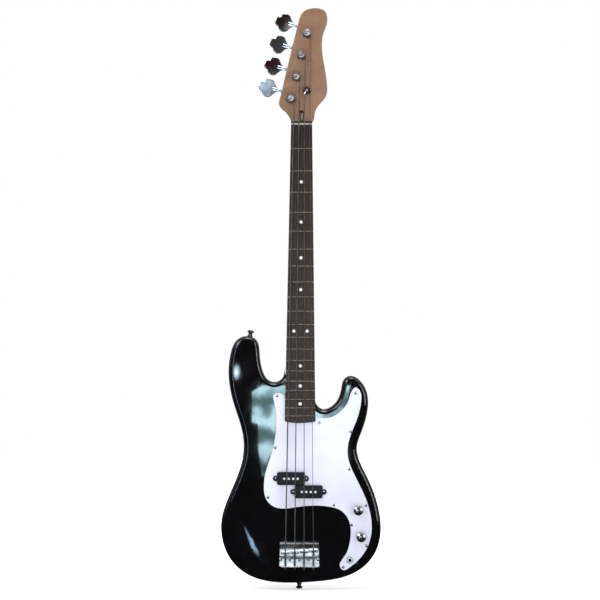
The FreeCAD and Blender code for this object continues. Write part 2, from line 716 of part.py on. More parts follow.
def make_body():
    outline = closed_spline([on_body(shares) for shares in BODY_OUTLINE_SHARES])
    full = slab(outline, front(OVERRUN), BACK_Y + OVERRUN)
    blank = full.common(contour_blank(ARM_COLUMNS, ARM_ROWS, front(0), arm_depth, BACKWARD))
    blank = blank.common(contour_blank(BELLY_COLUMNS, BELLY_ROWS, BACK_Y, belly_depth, FORWARD)).Solids[0]
    rims = [edge for edge in blank.Edges if not isinstance(edge.Curve, Part.Line)]
    body = blank.makeFillet(BODY_EDGE_RADIUS, rims)

    floor_y = front(-POCKET_DEPTH)
    tab = half_width(HEEL_Z)
    pad = tab - HEEL_PAD_INSET
    heel_pad = block(-pad, pad, 0, HEEL_PAD_Y, HEEL_Z, BODY_LENGTH)
    heel_pad = round_edges(heel_pad, HEEL_PAD_EDGE, lambda box: box.YMin > BACK_Y and box.ZLength > tab)
    body = body.fuse(heel_pad)
    bass_end = Vector(-tab, 0, HEEL_Z + POCKET_LENGTH_BASS)
    treble_end = Vector(tab, 0, HEEL_Z + POCKET_LENGTH_TREBLE)
    rise = UP * BODY_WIDTH
    above = slab(Part.makePolygon([bass_end, treble_end, treble_end + rise, bass_end + rise, bass_end]),
                 front(OVERRUN), BACK_Y + OVERRUN)
    pocket_top = HEEL_Z + POCKET_LENGTH_BASS + tab
    pocket = heel_shape(POCKET_GAP, front(OVERRUN), floor_y, pocket_top)
    wall_end = HEEL_Z + POCKET_WALL_TREBLE
    side_low = Vector(half_width(wall_end), 0, wall_end)
    side_high = Vector(half_width(pocket_top), 0, pocket_top)
    out_high = Vector(tab + POCKET_SIDE_REACH, 0, pocket_top)
    out_low = Vector(tab + POCKET_SIDE_REACH, 0, wall_end)
    # On the treble side the tab is flush with the neck beyond the pocket's wall
    beside = slab(Part.makePolygon([side_low, side_high, out_high, out_low, side_low]),
                  front(OVERRUN), BACK_Y + OVERRUN)

    volume, tone, jack = control_places()
    deep = BACKWARD * CONTROL_CAVITY_DEPTH
    over = FORWARD * OVERRUN
    cavities = [
        rod(CONTROL_CAVITY_RADIUS, volume + over, volume + deep),
        rod(CONTROL_CAVITY_RADIUS, tone + over, tone + deep),
        rod(JACK_CAVITY_RADIUS, jack + over, jack + deep),
        trench(volume, tone, 2 * JACK_CAVITY_RADIUS, CONTROL_CAVITY_DEPTH),
        trench(tone, jack, 2 * JACK_CAVITY_RADIUS, CONTROL_CAVITY_DEPTH),
    ]
    bass_half, treble_half = pickup_places()
    floor = front(-PICKUP_CAVITY_DEPTH)
    for centre in (bass_half, treble_half):
        cavities.append(pickup_outline(centre, PICKUP_CAVITY_GAP, front(OVERRUN), floor))
    cavities.append(trench(treble_half, volume, CHANNEL_WIDTH, CHANNEL_DEPTH))
    ground_start, ground_end = ground_wire_places()
    cavities.append(rod(GROUND_HOLE_RADIUS, ground_start, ground_end))

    holes = [screw_hole(GUARD_SCREW, place, FORWARD, False) for place in guard_screw_places()]
    holes += [screw_hole(BRIDGE_SCREW, place, FORWARD, False) for place in bridge_screw_places()]
    holes += [screw_hole(NECK_SCREW, place, BACKWARD, False) for place in neck_screw_places()]
    for centre in (bass_half, treble_half):
        holes += [screw_hole(PICKUP_SCREW, place, FORWARD, False, PICKUP_TRAVEL + OVERRUN)
                  for place in pickup_screw_places(centre)]
    for seat, axis in strap_button_places():
        holes.append(screw_hole(BUTTON_SCREW, seat + axis * BUTTON_HEIGHT, axis, False))
        holes.append(rod(BUTTON_BASE_RADIUS + FIT, seat, seat + axis * BUTTON_HEIGHT))
    return body.cut([above, pocket, beside] + cavities).cut(holes).removeSplitter()


def make_pickguard():
    outline = closed_spline([on_body(shares) for shares in GUARD_OUTLINE_SHARES])
    plate = slab(outline, front(0), front(GUARD_THICKNESS))
    rim = [edge for edge in plate.Edges if edge.BoundBox.YMax < front(GUARD_THICKNESS) + FIT]
    plate = plate.makeChamfer(GUARD_BEVEL, rim)
    tools = [heel_shape(GUARD_GAP, front(GUARD_THICKNESS + OVERRUN), front(-OVERRUN), BODY_LENGTH)]
    for centre in pickup_places():
        tools.append(pickup_outline(centre, GUARD_GAP, front(GUARD_THICKNESS + OVERRUN), front(-OVERRUN)))
    tools += [screw_hole(GUARD_SCREW, place, FORWARD, True) for place in guard_screw_places()]
    volume, tone, jack = control_places()
    reach = FORWARD * (GUARD_THICKNESS + OVERRUN)
    bushings = ((volume, POT_BUSHING_RADIUS), (tone, POT_BUSHING_RADIUS), (jack, JACK_BUSHING_RADIUS))
    for place, radius in bushings:
        tools.append(rod(radius + FIT, place + BACKWARD * OVERRUN, place + reach))
    return plate.cut(tools)


def make_strap_buttons():
    buttons = []
    screws = []
    shank, _, head, _ = BUTTON_SCREW
    bore = shank + FIT
    for seat, axis in strap_button_places():
        rim_low = BUTTON_HEIGHT - 2 * BUTTON_RIM
        profile = [
            (bore, 0), (BUTTON_BASE_RADIUS, 0), (BUTTON_BASE_RADIUS, BUTTON_RIM),
            (BUTTON_HEAD_RADIUS, rim_low, BUTTON_WAIST_RADIUS, (BUTTON_RIM + rim_low) / 2),
            (BUTTON_HEAD_RADIUS, BUTTON_HEIGHT - BUTTON_RIM),
            (BUTTON_HEAD_RADIUS - BUTTON_RIM, BUTTON_HEIGHT), (head + FIT, BUTTON_HEIGHT),
            (bore, BUTTON_HEIGHT + shank - head),
        ]
        buttons.append(turned(profile, seat, axis))
        screws.append(screw(BUTTON_SCREW, seat + axis * BUTTON_HEIGHT, axis, True))
    return Part.makeCompound(buttons), Part.makeCompound(screws)


# Neck, headstock and fretboard

def fret_z(number):
    return NUT_Z - SCALE_LENGTH * (1 - 2 ** (-number / OCTAVE_FRET))


def shaft_section(z, depth):
    """Flat-topped half ellipse across the neck at a height along it."""
    half = half_width(min(z, NUT_Z))
    middle = Vector(0, NECK_TOP_Y, z)
    ellipse = Part.Ellipse(middle + Vector(half, 0, 0), middle + Vector(0, depth, 0), middle)
    arc = Part.ArcOfEllipse(ellipse, 0, math.pi).toShape()
    line = Part.makeLine(middle + Vector(-half, 0, 0), middle + Vector(half, 0, 0))
    return Part.Wire([arc, line])


def side_slab(points, arcs, half):
    """Solid across the neck from (z, y) points; an arc entry gives the middle of the run from its point."""
    edges = []
    for k, (z, y) in enumerate(points):
        z_next, y_next = points[(k + 1) % len(points)]
        start = Vector(-half, y, z)
        end = Vector(-half, y_next, z_next)
        if k in arcs:
            z_mid, y_mid = arcs[k]
            edges.append(Part.Arc(start, Vector(-half, y_mid, z_mid), end).toShape())
        else:
            edges.append(Part.makeLine(start, end))
    return Part.Face(Part.Wire(edges)).extrude(Vector(2 * half, 0, 0))


def make_heel_block():
    """Square heel that sweeps up into the round of the neck past the pocket."""
    bottom = NECK_TOP_Y + HEEL_THICKNESS
    z_end = HEEL_Z + POCKET_LENGTH_BASS
    z_top = z_end + HEEL_THICKNESS
    swing = HEEL_THICKNESS * math.sin(math.pi / 4)
    z_low = HEEL_Z - OVERRUN
    points = [(z_low, NECK_TOP_Y), (z_top, NECK_TOP_Y), (z_end, bottom), (z_low, bottom)]
    side = side_slab(points, {1: (z_top - swing, bottom - swing)}, HEEL_WIDTH)
    return heel_shape(0, NECK_TOP_Y, bottom, z_top + OVERRUN).common(side)


def make_head_block():
    """Headstock with the scoop behind the nut and the ramp that runs out into the neck's back."""
    outline = closed_spline([(x * HEAD_WIDTH, NUT_Z + z * HEAD_LENGTH) for x, z in HEAD_OUTLINE_SHARES])
    plate = slab(outline, HEAD_FACE_Y, HEAD_BACK_Y)
    plate = plate.makeFillet(HEAD_EDGE_RADIUS, [e for e in plate.Edges if not isinstance(e.Curve, Part.Line)])
    z_board = NUT_Z + NUT_THICKNESS + BOARD_PAST_NUT
    z_scoop = z_board + math.sqrt(HEAD_SCOOP_RADIUS ** 2 - (HEAD_SCOOP_RADIUS - HEAD_DROP) ** 2)
    cheek = slab(outline, NECK_TOP_Y, HEAD_FACE_Y + HEAD_EDGE_RADIUS)
    z_inside = NUT_Z - HEAD_LENGTH
    cheek = cheek.common(block(-HEAD_WIDTH, HEAD_WIDTH, NECK_TOP_Y, HEAD_BACK_Y, z_inside, z_scoop))
    head = plate.fuse(cheek)

    z_low = NUT_Z
    z_flat = z_low + math.sqrt(HEAD_RAMP_RADIUS ** 2 - (HEAD_RAMP_RADIUS - HEAD_THICKNESS) ** 2)
    turn = math.acos((HEAD_RAMP_RADIUS - HEAD_THICKNESS) / HEAD_RAMP_RADIUS) / 2
    middle = (z_low + HEAD_RAMP_RADIUS * math.sin(turn),
              HEAD_FACE_Y + HEAD_RAMP_RADIUS * (1 - math.cos(turn)))
    z_tip = NUT_Z + HEAD_LENGTH + OVERRUN
    far_back = HEAD_BACK_Y + OVERRUN
    points = [(z_low, NECK_TOP_Y), (z_low, HEAD_FACE_Y), (z_flat, HEAD_BACK_Y), (z_flat, far_back),
              (z_tip, far_back), (z_tip, NECK_TOP_Y)]
    return head.common(side_slab(points, {1: middle}, HEAD_WIDTH))


def scoop_cutter():
    """Cutter that lowers the neck's top face to the face of the headstock behind the nut."""
    z_board = NUT_Z + NUT_THICKNESS + BOARD_PAST_NUT
    run = math.sqrt(HEAD_SCOOP_RADIUS ** 2 - (HEAD_SCOOP_RADIUS - HEAD_DROP) ** 2)
    z_scoop = z_board + run
    turn = math.asin(run / HEAD_SCOOP_RADIUS) / 2
    centre_y = HEAD_FACE_Y - HEAD_SCOOP_RADIUS
    middle = (z_scoop - HEAD_SCOOP_RADIUS * math.sin(turn), centre_y + HEAD_SCOOP_RADIUS * math.cos(turn))
    z_tip = NUT_Z + HEAD_LENGTH + OVERRUN
    clear = NECK_TOP_Y - OVERRUN
    points = [(z_board, clear), (z_board, NECK_TOP_Y), (z_scoop, HEAD_FACE_Y), (z_tip, HEAD_FACE_Y),
              (z_tip, clear)]
    return side_slab(points, {1: middle}, HEAD_WIDTH)


def tree_place():
    return Vector(TREE_OFFSET, HEAD_FACE_Y, NUT_Z + TREE_FROM_NUT)


def tree_top():
    """Height of the string tree's top above the headstock's face."""
    under = TREE_STRING_HEIGHT + STRING_DIAMETERS[2] / 2 + STRING_REST_GAP + TREE_SLOPE_ROOM
    return under + TREE_THICKNESS


def make_neck():
    shaft_low = HEEL_Z + POCKET_LENGTH_TREBLE
    shaft_high = NUT_Z + HEAD_RAMP_RADIUS / 2
    shaft = Part.makeLoft([shaft_section(shaft_low, SHAFT_DEPTH_HEEL), shaft_section(NUT_Z, SHAFT_DEPTH_NUT)],
                          True, True)
    stub = Part.makeLoft([shaft_section(NUT_Z, SHAFT_DEPTH_NUT), shaft_section(shaft_high, SHAFT_DEPTH_NUT)],
                         True, True)
    neck = shaft.fuse([stub, make_heel_block(), make_head_block()]).cut(scoop_cutter())

    rod_y = NECK_TOP_Y + ROD_AXIS_DEPTH
    half_slot = ROD_RADIUS + FIT
    channel = block(-half_slot, half_slot, NECK_TOP_Y - OVERRUN, rod_y + half_slot,
                    HEEL_Z + ROD_FROM_HEEL, NUT_Z + ACCESS_FROM_NUT + ACCESS_WIDTH / 2)
    half_access = ACCESS_WIDTH / 2
    z_access = NUT_Z + ACCESS_FROM_NUT
    access = rounded_block(-half_access, half_access, NECK_TOP_Y - OVERRUN, rod_y + half_access,
                           z_access, z_access + ACCESS_LENGTH, ACCESS_WIDTH / 3)
    tools = [channel, access]
    tools += [screw_hole(NECK_SCREW, place, BACKWARD, False) for place in neck_screw_places()]
    tools.append(screw_hole(TREE_SCREW, tree_place() + FORWARD * tree_top(), FORWARD, False))
    for index in range(len(STRINGS)):
        post = post_place(index)
        over = BACKWARD * OVERRUN
        tools.append(rod(BUSHING_RADIUS + FIT, post - over, post + BACKWARD * (HEAD_THICKNESS + OVERRUN)))
        tools += [screw_hole(TUNER_SCREW, place, BACKWARD, False) for place in tuner_screw_places(index)]
    return neck.cut(tools).removeSplitter()


def board_cylinder(radius):
    """Cylinder whose front follows the fretboard's round, from the heel to past the nut."""
    start = Vector(0, BOARD_AXIS_Y, HEEL_Z - OVERRUN)
    end = Vector(0, BOARD_AXIS_Y, NUT_Z + NUT_THICKNESS + BOARD_PAST_NUT + OVERRUN)
    return rod(radius, start, end)


def board_fall(x):
    """How far the fretboard's round falls back at a distance from the centre line."""
    return BOARD_RADIUS - math.sqrt(BOARD_RADIUS ** 2 - x ** 2)


def fret_solid(number, gap, crown_too):
    """Fret bent to the fretboard's round: its tang, grown by a gap, with or without its crown."""
    z = fret_z(number)
    half_angle = math.asin(half_width(z) / BOARD_RADIUS)
    half_tang = FRET_TANG_WIDTH / 2 + gap
    root = BOARD_TOP_Y + FRET_TANG_DEPTH + gap
    half_crown = FRET_WIDTH / 2

    def point(along, y):
        return Vector(0, y, z + along)

    tang = [point(half_tang, BOARD_TOP_Y), point(half_tang, root), point(-half_tang, root),
            point(-half_tang, BOARD_TOP_Y)]
    edges = [Part.makeLine(a, b) for a, b in zip(tang, tang[1:])]
    if crown_too:
        left = point(-half_crown, BOARD_TOP_Y)
        right = point(half_crown, BOARD_TOP_Y)
        edges.append(Part.makeLine(tang[-1], left))
        edges.append(Part.Arc(left, point(0, BOARD_TOP_Y - FRET_HEIGHT), right).toShape())
        edges.append(Part.makeLine(right, tang[0]))
    else:
        high = BOARD_TOP_Y - OVERRUN
        edges.append(Part.makeLine(tang[-1], point(-half_tang, high)))
        edges.append(Part.makeLine(point(-half_tang, high), point(half_tang, high)))
        edges.append(Part.makeLine(point(half_tang, high), tang[0]))
        half_angle += gap
    face = Part.Face(Part.Wire(edges))
    axis = Vector(0, BOARD_AXIS_Y, 0)
    face.rotate(axis, UP, -math.degrees(half_angle))
    return face.revolve(axis, UP, math.degrees(2 * half_angle))


def dot_places():
    """X and Z of the dots on the fretboard's face."""
    places = []
    for fret in MARKED_FRETS:
        z = (fret_z(fret) + fret_z(fret - 1)) / 2
        offsets = (-OCTAVE_DOT_SPREAD / 2, OCTAVE_DOT_SPREAD / 2) if fret == OCTAVE_FRET else (0,)
        places += [(x, z) for x in offsets]
    return places


def dot_rod(x, z, radius):
    base_y = BOARD_TOP_Y + board_fall(x) + DOT_DEPTH
    return rod(radius, Vector(x, base_y, z), Vector(x, BOARD_TOP_Y - OVERRUN, z))


def side_dot_rods(radius):
    """Rods for the dots in the bass edge of the fretboard."""
    rods = []
    for fret in MARKED_FRETS:
        middle = (fret_z(fret) + fret_z(fret - 1)) / 2
        shifts = (-2 * SIDE_DOT_RADIUS, 2 * SIDE_DOT_RADIUS) if fret == OCTAVE_FRET else (0,)
        for shift in shifts:
            z = middle + shift
            inner = Vector(DOT_DEPTH - half_width(z), BOARD_TOP_Y + SIDE_DOT_DROP, z)
            rods.append(rod(radius, inner, inner - Vector(DOT_DEPTH + OVERRUN, 0, 0)))
    return rods


def board_blank():
    z_end = NUT_Z + NUT_THICKNESS + BOARD_PAST_NUT
    return heel_shape(0, BOARD_TOP_Y - OVERRUN, NECK_TOP_Y, z_end).common(board_cylinder(BOARD_RADIUS))


def make_fretboard():
    tools = [fret_solid(number, FIT, False) for number in range(1, FRET_COUNT + 1)]
    tools += [dot_rod(x, z, DOT_RADIUS + FIT) for x, z in dot_places()]
    tools += side_dot_rods(SIDE_DOT_RADIUS + FIT)
    tools.append(block(-NUT_WIDTH, NUT_WIDTH, BOARD_TOP_Y - OVERRUN, BOARD_TOP_Y + NUT_SEAT_DEPTH,
                       NUT_Z, NUT_Z + NUT_THICKNESS))
    return board_blank().cut(tools)


def make_position_markers():
    blank = board_blank()
    dots = [dot_rod(x, z, DOT_RADIUS).common(blank) for x, z in dot_places()]
    dots += [side.common(blank) for side in side_dot_rods(SIDE_DOT_RADIUS)]
    return Part.makeCompound([solid for dot in dots for solid in dot.Solids])


def make_nut():
    half = half_width(NUT_Z)
    nut = block(-half, half, BOARD_TOP_Y - BOARD_THICKNESS, BOARD_TOP_Y + NUT_SEAT_DEPTH,
                NUT_Z, NUT_Z + NUT_THICKNESS)
    nut = nut.common(board_cylinder(BOARD_RADIUS + NUT_STAND))
    over = FORWARD * BOARD_THICKNESS
    slots = []
    for index, diameter in enumerate(STRING_DIAMETERS):
        radius = diameter / 2 + NUT_SLOT_GAP
        centre = nut_point(index) - UP * NUT_THICKNESS
        side = Vector(radius, 0, 0)
        edges = [
            Part.makeLine(centre - side + over, centre - side),
            Part.Arc(centre - side, centre + BACKWARD * radius, centre + side).toShape(),
            Part.makeLine(centre + side, centre + side + over),
            Part.makeLine(centre + side + over, centre - side + over),
        ]
        slots.append(Part.Face(Part.Wire(edges)).extrude(UP * (2 * NUT_THICKNESS)))
    return nut.cut(slots)


def make_truss_rod():
    rod_y = NECK_TOP_Y + ROD_AXIS_DEPTH
    low = HEEL_Z + ROD_FROM_HEEL + FIT
    nut_low = NUT_Z + ROD_NUT_FROM_NUT
    nut_high = nut_low + ROD_NUT_LENGTH
    thread = ROD_NUT_LENGTH - ROD_KEY_DEPTH - OVERRUN
    bar = rod(ROD_RADIUS, Vector(0, rod_y, low), Vector(0, rod_y, nut_low + thread))
    nut = rod(ROD_NUT_RADIUS, Vector(0, rod_y, nut_low), Vector(0, rod_y, nut_high))
    bore_end = nut_low + thread + FIT
    bore = rod(ROD_RADIUS + FIT, Vector(0, rod_y, nut_low - OVERRUN), Vector(0, rod_y, bore_end))
    key = hexagon(ROD_KEY_WIDTH, Vector(0, rod_y, nut_high - ROD_KEY_DEPTH), UP, ROD_KEY_DEPTH + OVERRUN)
    return bar, nut.cut([bore, key])


def make_neck_plate():
    z_low = HEEL_Z + PLATE_FROM_HEEL
    plate = rounded_block(-PLATE_WIDTH / 2, PLATE_WIDTH / 2, HEEL_PAD_Y, HEEL_PAD_Y + PLATE_THICKNESS,
                          z_low, z_low + PLATE_LENGTH, PLATE_CORNER_RADIUS)
    return plate.cut([screw_hole(NECK_SCREW, place, BACKWARD, True) for place in neck_screw_places()])


def make_string_tree():
    place = tree_place()
    top = tree_top()
    low = top - TREE_THICKNESS
    shank, _, head, _ = TREE_SCREW
    bore = shank + FIT
    profile = [
        (bore, 0), (TREE_STEM_RADIUS, 0), (TREE_STEM_RADIUS, low), (TREE_RADIUS, low),
        (TREE_RADIUS, low + TREE_THICKNESS / 3), (head + FIT, top), (bore, top + shank - head),
    ]
    return turned(profile, place, FORWARD)


# Strings

def string_share(index):
    """Place of a string across the set, from -1/2 on the bass side to 1/2 on the treble side."""
    return index / (len(STRINGS) - 1) - 1 / 2


def string_height_at_nut(index):
    return BOARD_TOP_HEIGHT - board_fall(string_share(index) * NUT_SPREAD) + FRET_HEIGHT + NUT_ACTION


def string_height_at_saddle(index):
    """Height of a string's underside at its saddle, from the action at the nut and at the octave."""
    fall = board_fall(string_share(index) * BRIDGE_SPREAD)
    return BOARD_TOP_HEIGHT - fall + FRET_HEIGHT + 2 * OCTAVE_ACTION - NUT_ACTION


def nut_point(index):
    """Centre of a string where it bears on the nut."""
    height = string_height_at_nut(index) + STRING_DIAMETERS[index] / 2
    return Vector(string_share(index) * NUT_SPREAD, front(height), NUT_Z + NUT_THICKNESS / 2)


def saddle_point(index):
    """Centre of a string where it bears on its saddle."""
    height = string_height_at_saddle(index) + STRING_DIAMETERS[index] / 2
    return Vector(string_share(index) * BRIDGE_SPREAD, front(height), TAIL_TO_BRIDGE - COMPENSATION[index])


def winding_radius(index):
    return POST_RADIUS + STRING_REST_GAP + STRING_DIAMETERS[index] / 2


def post_place(index):
    """Centre of a tuning post on the face of the headstock."""
    lean = math.radians(TUNER_LEAN)
    run = index * TUNER_SPACING
    return Vector(FIRST_POST_OFFSET + run * math.sin(lean), HEAD_FACE_Y,
                  NUT_Z + FIRST_POST_FROM_NUT + run * math.cos(lean))


def tail_bend(index):
    """A string's turn into its slot: bend radius, inner end's distance from the axis and lead angle."""
    bend = STRING_DIAMETERS[index] * TAIL_BEND_SHARE
    circle = winding_radius(index)
    inner = math.sqrt(circle ** 2 - 2 * circle * bend)
    return bend, inner, math.atan2(bend, inner)


def string_layout(index):
    """Points of a string from its ball to the post, its angle there and the angle of the post's slot."""
    radius = STRING_DIAMETERS[index] / 2
    post = post_place(index)
    circle = winding_radius(index)
    bearing = nut_point(index)
    ball = Vector(saddle_point(index).x, front(STRING_HOLE_HEIGHT), BRIDGE_REAR_Z - FLANGE_REAR_GAP)
    points = [ball, saddle_point(index), bearing]
    if index >= 2:
        share = TREE_FROM_NUT / (post.z - NUT_Z)
        landing = post.x + circle
        under = Vector(bearing.x + (landing - bearing.x) * share, HEAD_FACE_Y - TREE_STRING_HEIGHT,
                       NUT_Z + TREE_FROM_NUT)
        points.append(under)
    last = points[-1]
    run = math.hypot(post.x - last.x, post.z - last.z)
    heading = math.atan2(post.x - last.x, post.z - last.z) + math.asin(circle / run)
    landing_angle = -heading
    landing = Vector(post.x + circle * math.cos(landing_angle), HEAD_FACE_Y - WINDING_HEIGHT - radius,
                     post.z + circle * math.sin(landing_angle))
    points.append(landing)
    lead = tail_bend(index)[2]
    turned_angle = 2 * math.pi * WINDING_TURNS[index] + math.pi
    return points, landing_angle, landing_angle + turned_angle + lead


def string_edges(index):
    """Path of a string: straight runs with bends, then its turns on the post and its tail in the slot."""
    diameter = STRING_DIAMETERS[index]
    points, landing_angle, slot_angle = string_layout(index)
    post = post_place(index)
    circle = winding_radius(index)
    bend, inner, lead = tail_bend(index)
    bends = [SADDLE_RADIUS + diameter / 2, NUT_WIDTH, NUT_WIDTH]
    edges = rounded_path(points, bends[:len(points) - 2])

    step = diameter + WINDING_STEP_GAP
    start_y = points[-1].y
    total = slot_angle - lead - landing_angle
    count = round(total / (2 * math.pi) * WINDING_QUARTERS)
    slope = step / (2 * math.pi * circle)

    def on_post(angle):
        y = start_y - step * (angle - landing_angle) / (2 * math.pi)
        return Vector(post.x + circle * math.cos(angle), y, post.z + circle * math.sin(angle))

    def heading(angle, climb):
        return Vector(-math.sin(angle), -climb, math.cos(angle)).normalize()

    place = points[-1]
    direction = (points[-1] - points[-2]).normalize()
    for k in range(1, count + 1):
        angle = landing_angle + total * k / count
        next_direction = heading(angle, 0 if k == count else slope)
        edges += biarc(place, direction, on_post(angle), next_direction)
        place = on_post(angle)
        direction = next_direction

    radial = Vector(math.cos(slot_angle), 0, math.sin(slot_angle))
    centre = Vector(post.x, place.y, post.z)
    turn_end = centre + radial * inner
    meet = turn_end + radial * (bend * math.tan((math.pi / 2 + lead) / 2))
    edges.append(arc_edge(place, meet, turn_end))
    edges.append(Part.makeLine(turn_end, centre - radial * diameter))
    return edges


def make_string(index):
    diameter = STRING_DIAMETERS[index]
    edges = string_edges(index)
    string = tube(edges, diameter / 2)
    length = Part.Wire(edges).Length
    section = math.pi * diameter ** 2 / 4
    share = string.Volume / (section * length)
    points = string_layout(index)[0]
    gap = least_gap(edges[2 * len(points) - 4:], diameter)
    print(f"string_{STRINGS[index]}: length {length:.1f}, volume share {share:.4f}, least gap {gap:.2f}")
    back = (points[0] - points[1]).normalize()
    ball = rod(BALL_RADIUS, points[0], points[0] + back * BALL_LENGTH)
    return Part.makeCompound([string, ball])


# Bridge

def saddle_centre(index):
    """Centre of a saddle's barrel under its string."""
    bearing = saddle_point(index)
    drop = STRING_DIAMETERS[index] / 2 + STRING_REST_GAP + SADDLE_RADIUS - SADDLE_GROOVE_DEPTH
    return bearing + BACKWARD * drop


def intonation_axis(index):
    """Head seat of an intonation screw on the flange and the direction to its saddle."""
    centre = saddle_centre(index)
    seat = Vector(centre.x, front(INTONATION_HEIGHT), BRIDGE_REAR_Z)
    return seat, (centre - seat).normalize()


def make_bridge_plate():
    half = BRIDGE_WIDTH / 2
    base = block(-half, half, front(BRIDGE_THICKNESS), front(0), BRIDGE_REAR_Z, BRIDGE_REAR_Z + BRIDGE_LENGTH)
    base = round_edges(base, BRIDGE_THICKNESS, lambda box: box.YLength > box.XLength and
                       box.YLength > box.ZLength and box.ZMin > BRIDGE_REAR_Z + OVERRUN)
    flange = block(-half, half, front(BRIDGE_FLANGE_HEIGHT), front(0),
                   BRIDGE_REAR_Z, BRIDGE_REAR_Z + BRIDGE_THICKNESS)
    flange = round_edges(flange, 2 * BRIDGE_THICKNESS, lambda box: box.ZLength > box.XLength and
                         box.ZLength > box.YLength and box.YMax < front(BRIDGE_THICKNESS))
    plate = base.fuse(flange).removeSplitter()
    inner = (front(BRIDGE_THICKNESS), BRIDGE_REAR_Z + BRIDGE_THICKNESS)
    outer = (front(0), BRIDGE_REAR_Z)

    def along_bend(corner):
        return [e for e in plate.Edges if e.BoundBox.XLength > half and abs(e.BoundBox.YMax - corner[0]) < FIT
                and abs(e.BoundBox.ZMax - corner[1]) < FIT]

    plate = plate.makeFillet(BRIDGE_BEND_RADIUS, along_bend(inner))
    plate = plate.makeFillet(BRIDGE_BEND_RADIUS + BRIDGE_THICKNESS / 2, along_bend(outer))
    tools = [screw_hole(BRIDGE_SCREW, place, FORWARD, False) for place in bridge_screw_places()]
    for index in range(len(STRINGS)):
        seat, direction = intonation_axis(index)
        reach = direction * (BRIDGE_THICKNESS + 2 * OVERRUN)
        tools.append(rod(INTONATION_RADIUS + FIT, seat - direction * OVERRUN, seat + reach))
        hole = Vector(seat.x, front(STRING_HOLE_HEIGHT), BRIDGE_REAR_Z)
        tools.append(rod(STRING_HOLE_RADIUS, hole - UP * OVERRUN, hole + UP * (BRIDGE_THICKNESS + OVERRUN)))
    return plate.cut(tools)


def make_saddle(index):
    """Barrel saddle with its string groove and two height screws."""
    centre = saddle_centre(index)
    half = SADDLE_LENGTH / 2
    across = Vector(1, 0, 0)
    barrel = rod(SADDLE_RADIUS, centre - across * half, centre + across * half)
    barrel = barrel.makeChamfer(SADDLE_EDGE, [e for e in barrel.Edges if e.BoundBox.XLength < FIT])
    ring = SADDLE_RADIUS - SADDLE_GROOVE_DEPTH + SADDLE_GROOVE_RADIUS
    tools = [Part.makeTorus(ring, SADDLE_GROOVE_RADIUS, centre, across)]
    direction = intonation_axis(index)[1]
    reach = direction * (SADDLE_RADIUS + 2 * OVERRUN)
    tools.append(rod(INTONATION_RADIUS + INTONATION_SLACK, centre - reach, centre + reach))
    screws = []
    for side in (-1, 1):
        axis = centre + across * (side * HEIGHT_SCREW_SPREAD / 2)
        foot = Vector(axis.x, front(BRIDGE_THICKNESS + HEIGHT_SCREW_STAND), axis.z)
        head = axis + FORWARD * (SADDLE_RADIUS - HEIGHT_SCREW_SINK)
        tools.append(rod(HEIGHT_SCREW_RADIUS + FIT, axis + BACKWARD * (SADDLE_RADIUS + OVERRUN),
                         axis + FORWARD * (SADDLE_RADIUS + OVERRUN)))
        socket = hexagon(HEX_KEY_WIDTH, head + BACKWARD * HEX_KEY_DEPTH, FORWARD, HEX_KEY_DEPTH + OVERRUN)
        screws.append(rod(HEIGHT_SCREW_RADIUS, foot, head).cut(socket))
    return Part.makeCompound([barrel.cut(tools)] + screws)


def make_intonation_screw(index):
    seat, direction = intonation_axis(index)
    reach = (saddle_centre(index) - seat).Length + INTONATION_PAST_SADDLE
    sizes = (INTONATION_RADIUS, reach, INTONATION_HEAD_RADIUS, INTONATION_HEAD_HEIGHT)
    return screw(sizes, seat - direction * FLANGE_REAR_GAP, direction * -1, False)


def make_spring(index):
    """Compression spring round an intonation screw between the flange and the saddle."""
    seat, direction = intonation_axis(index)
    radius = SPRING_DIAMETER / 2
    start = BRIDGE_THICKNESS + SPRING_WIRE + SPRING_END_GAP
    stop = (saddle_centre(index) - seat).Length - SADDLE_RADIUS - SPRING_WIRE / 2 - SPRING_END_GAP
    pitch = (stop - start) / SPRING_TURNS
    slope = pitch / (2 * math.pi * radius)
    place = FreeCAD.Placement(seat, FreeCAD.Rotation(UP, direction))

    def point(angle):
        rise = start + pitch * angle / (2 * math.pi)
        return place.multVec(Vector(radius * math.cos(angle), radius * math.sin(angle), rise))

    def heading(angle):
        return place.Rotation.multVec(Vector(-math.sin(angle), math.cos(angle), slope).normalize())

    edges = []
    quarters = SPRING_TURNS * WINDING_QUARTERS
    for k in range(quarters):
        low = k * math.pi / 2
        high = (k + 1) * math.pi / 2
        edges += biarc(point(low), heading(low), point(high), heading(high))
    print(f"spring {STRINGS[index]}: least gap of its turns {least_gap(edges, SPRING_WIRE):.2f}")
    return tube(edges, SPRING_WIRE / 2)


# Pickups

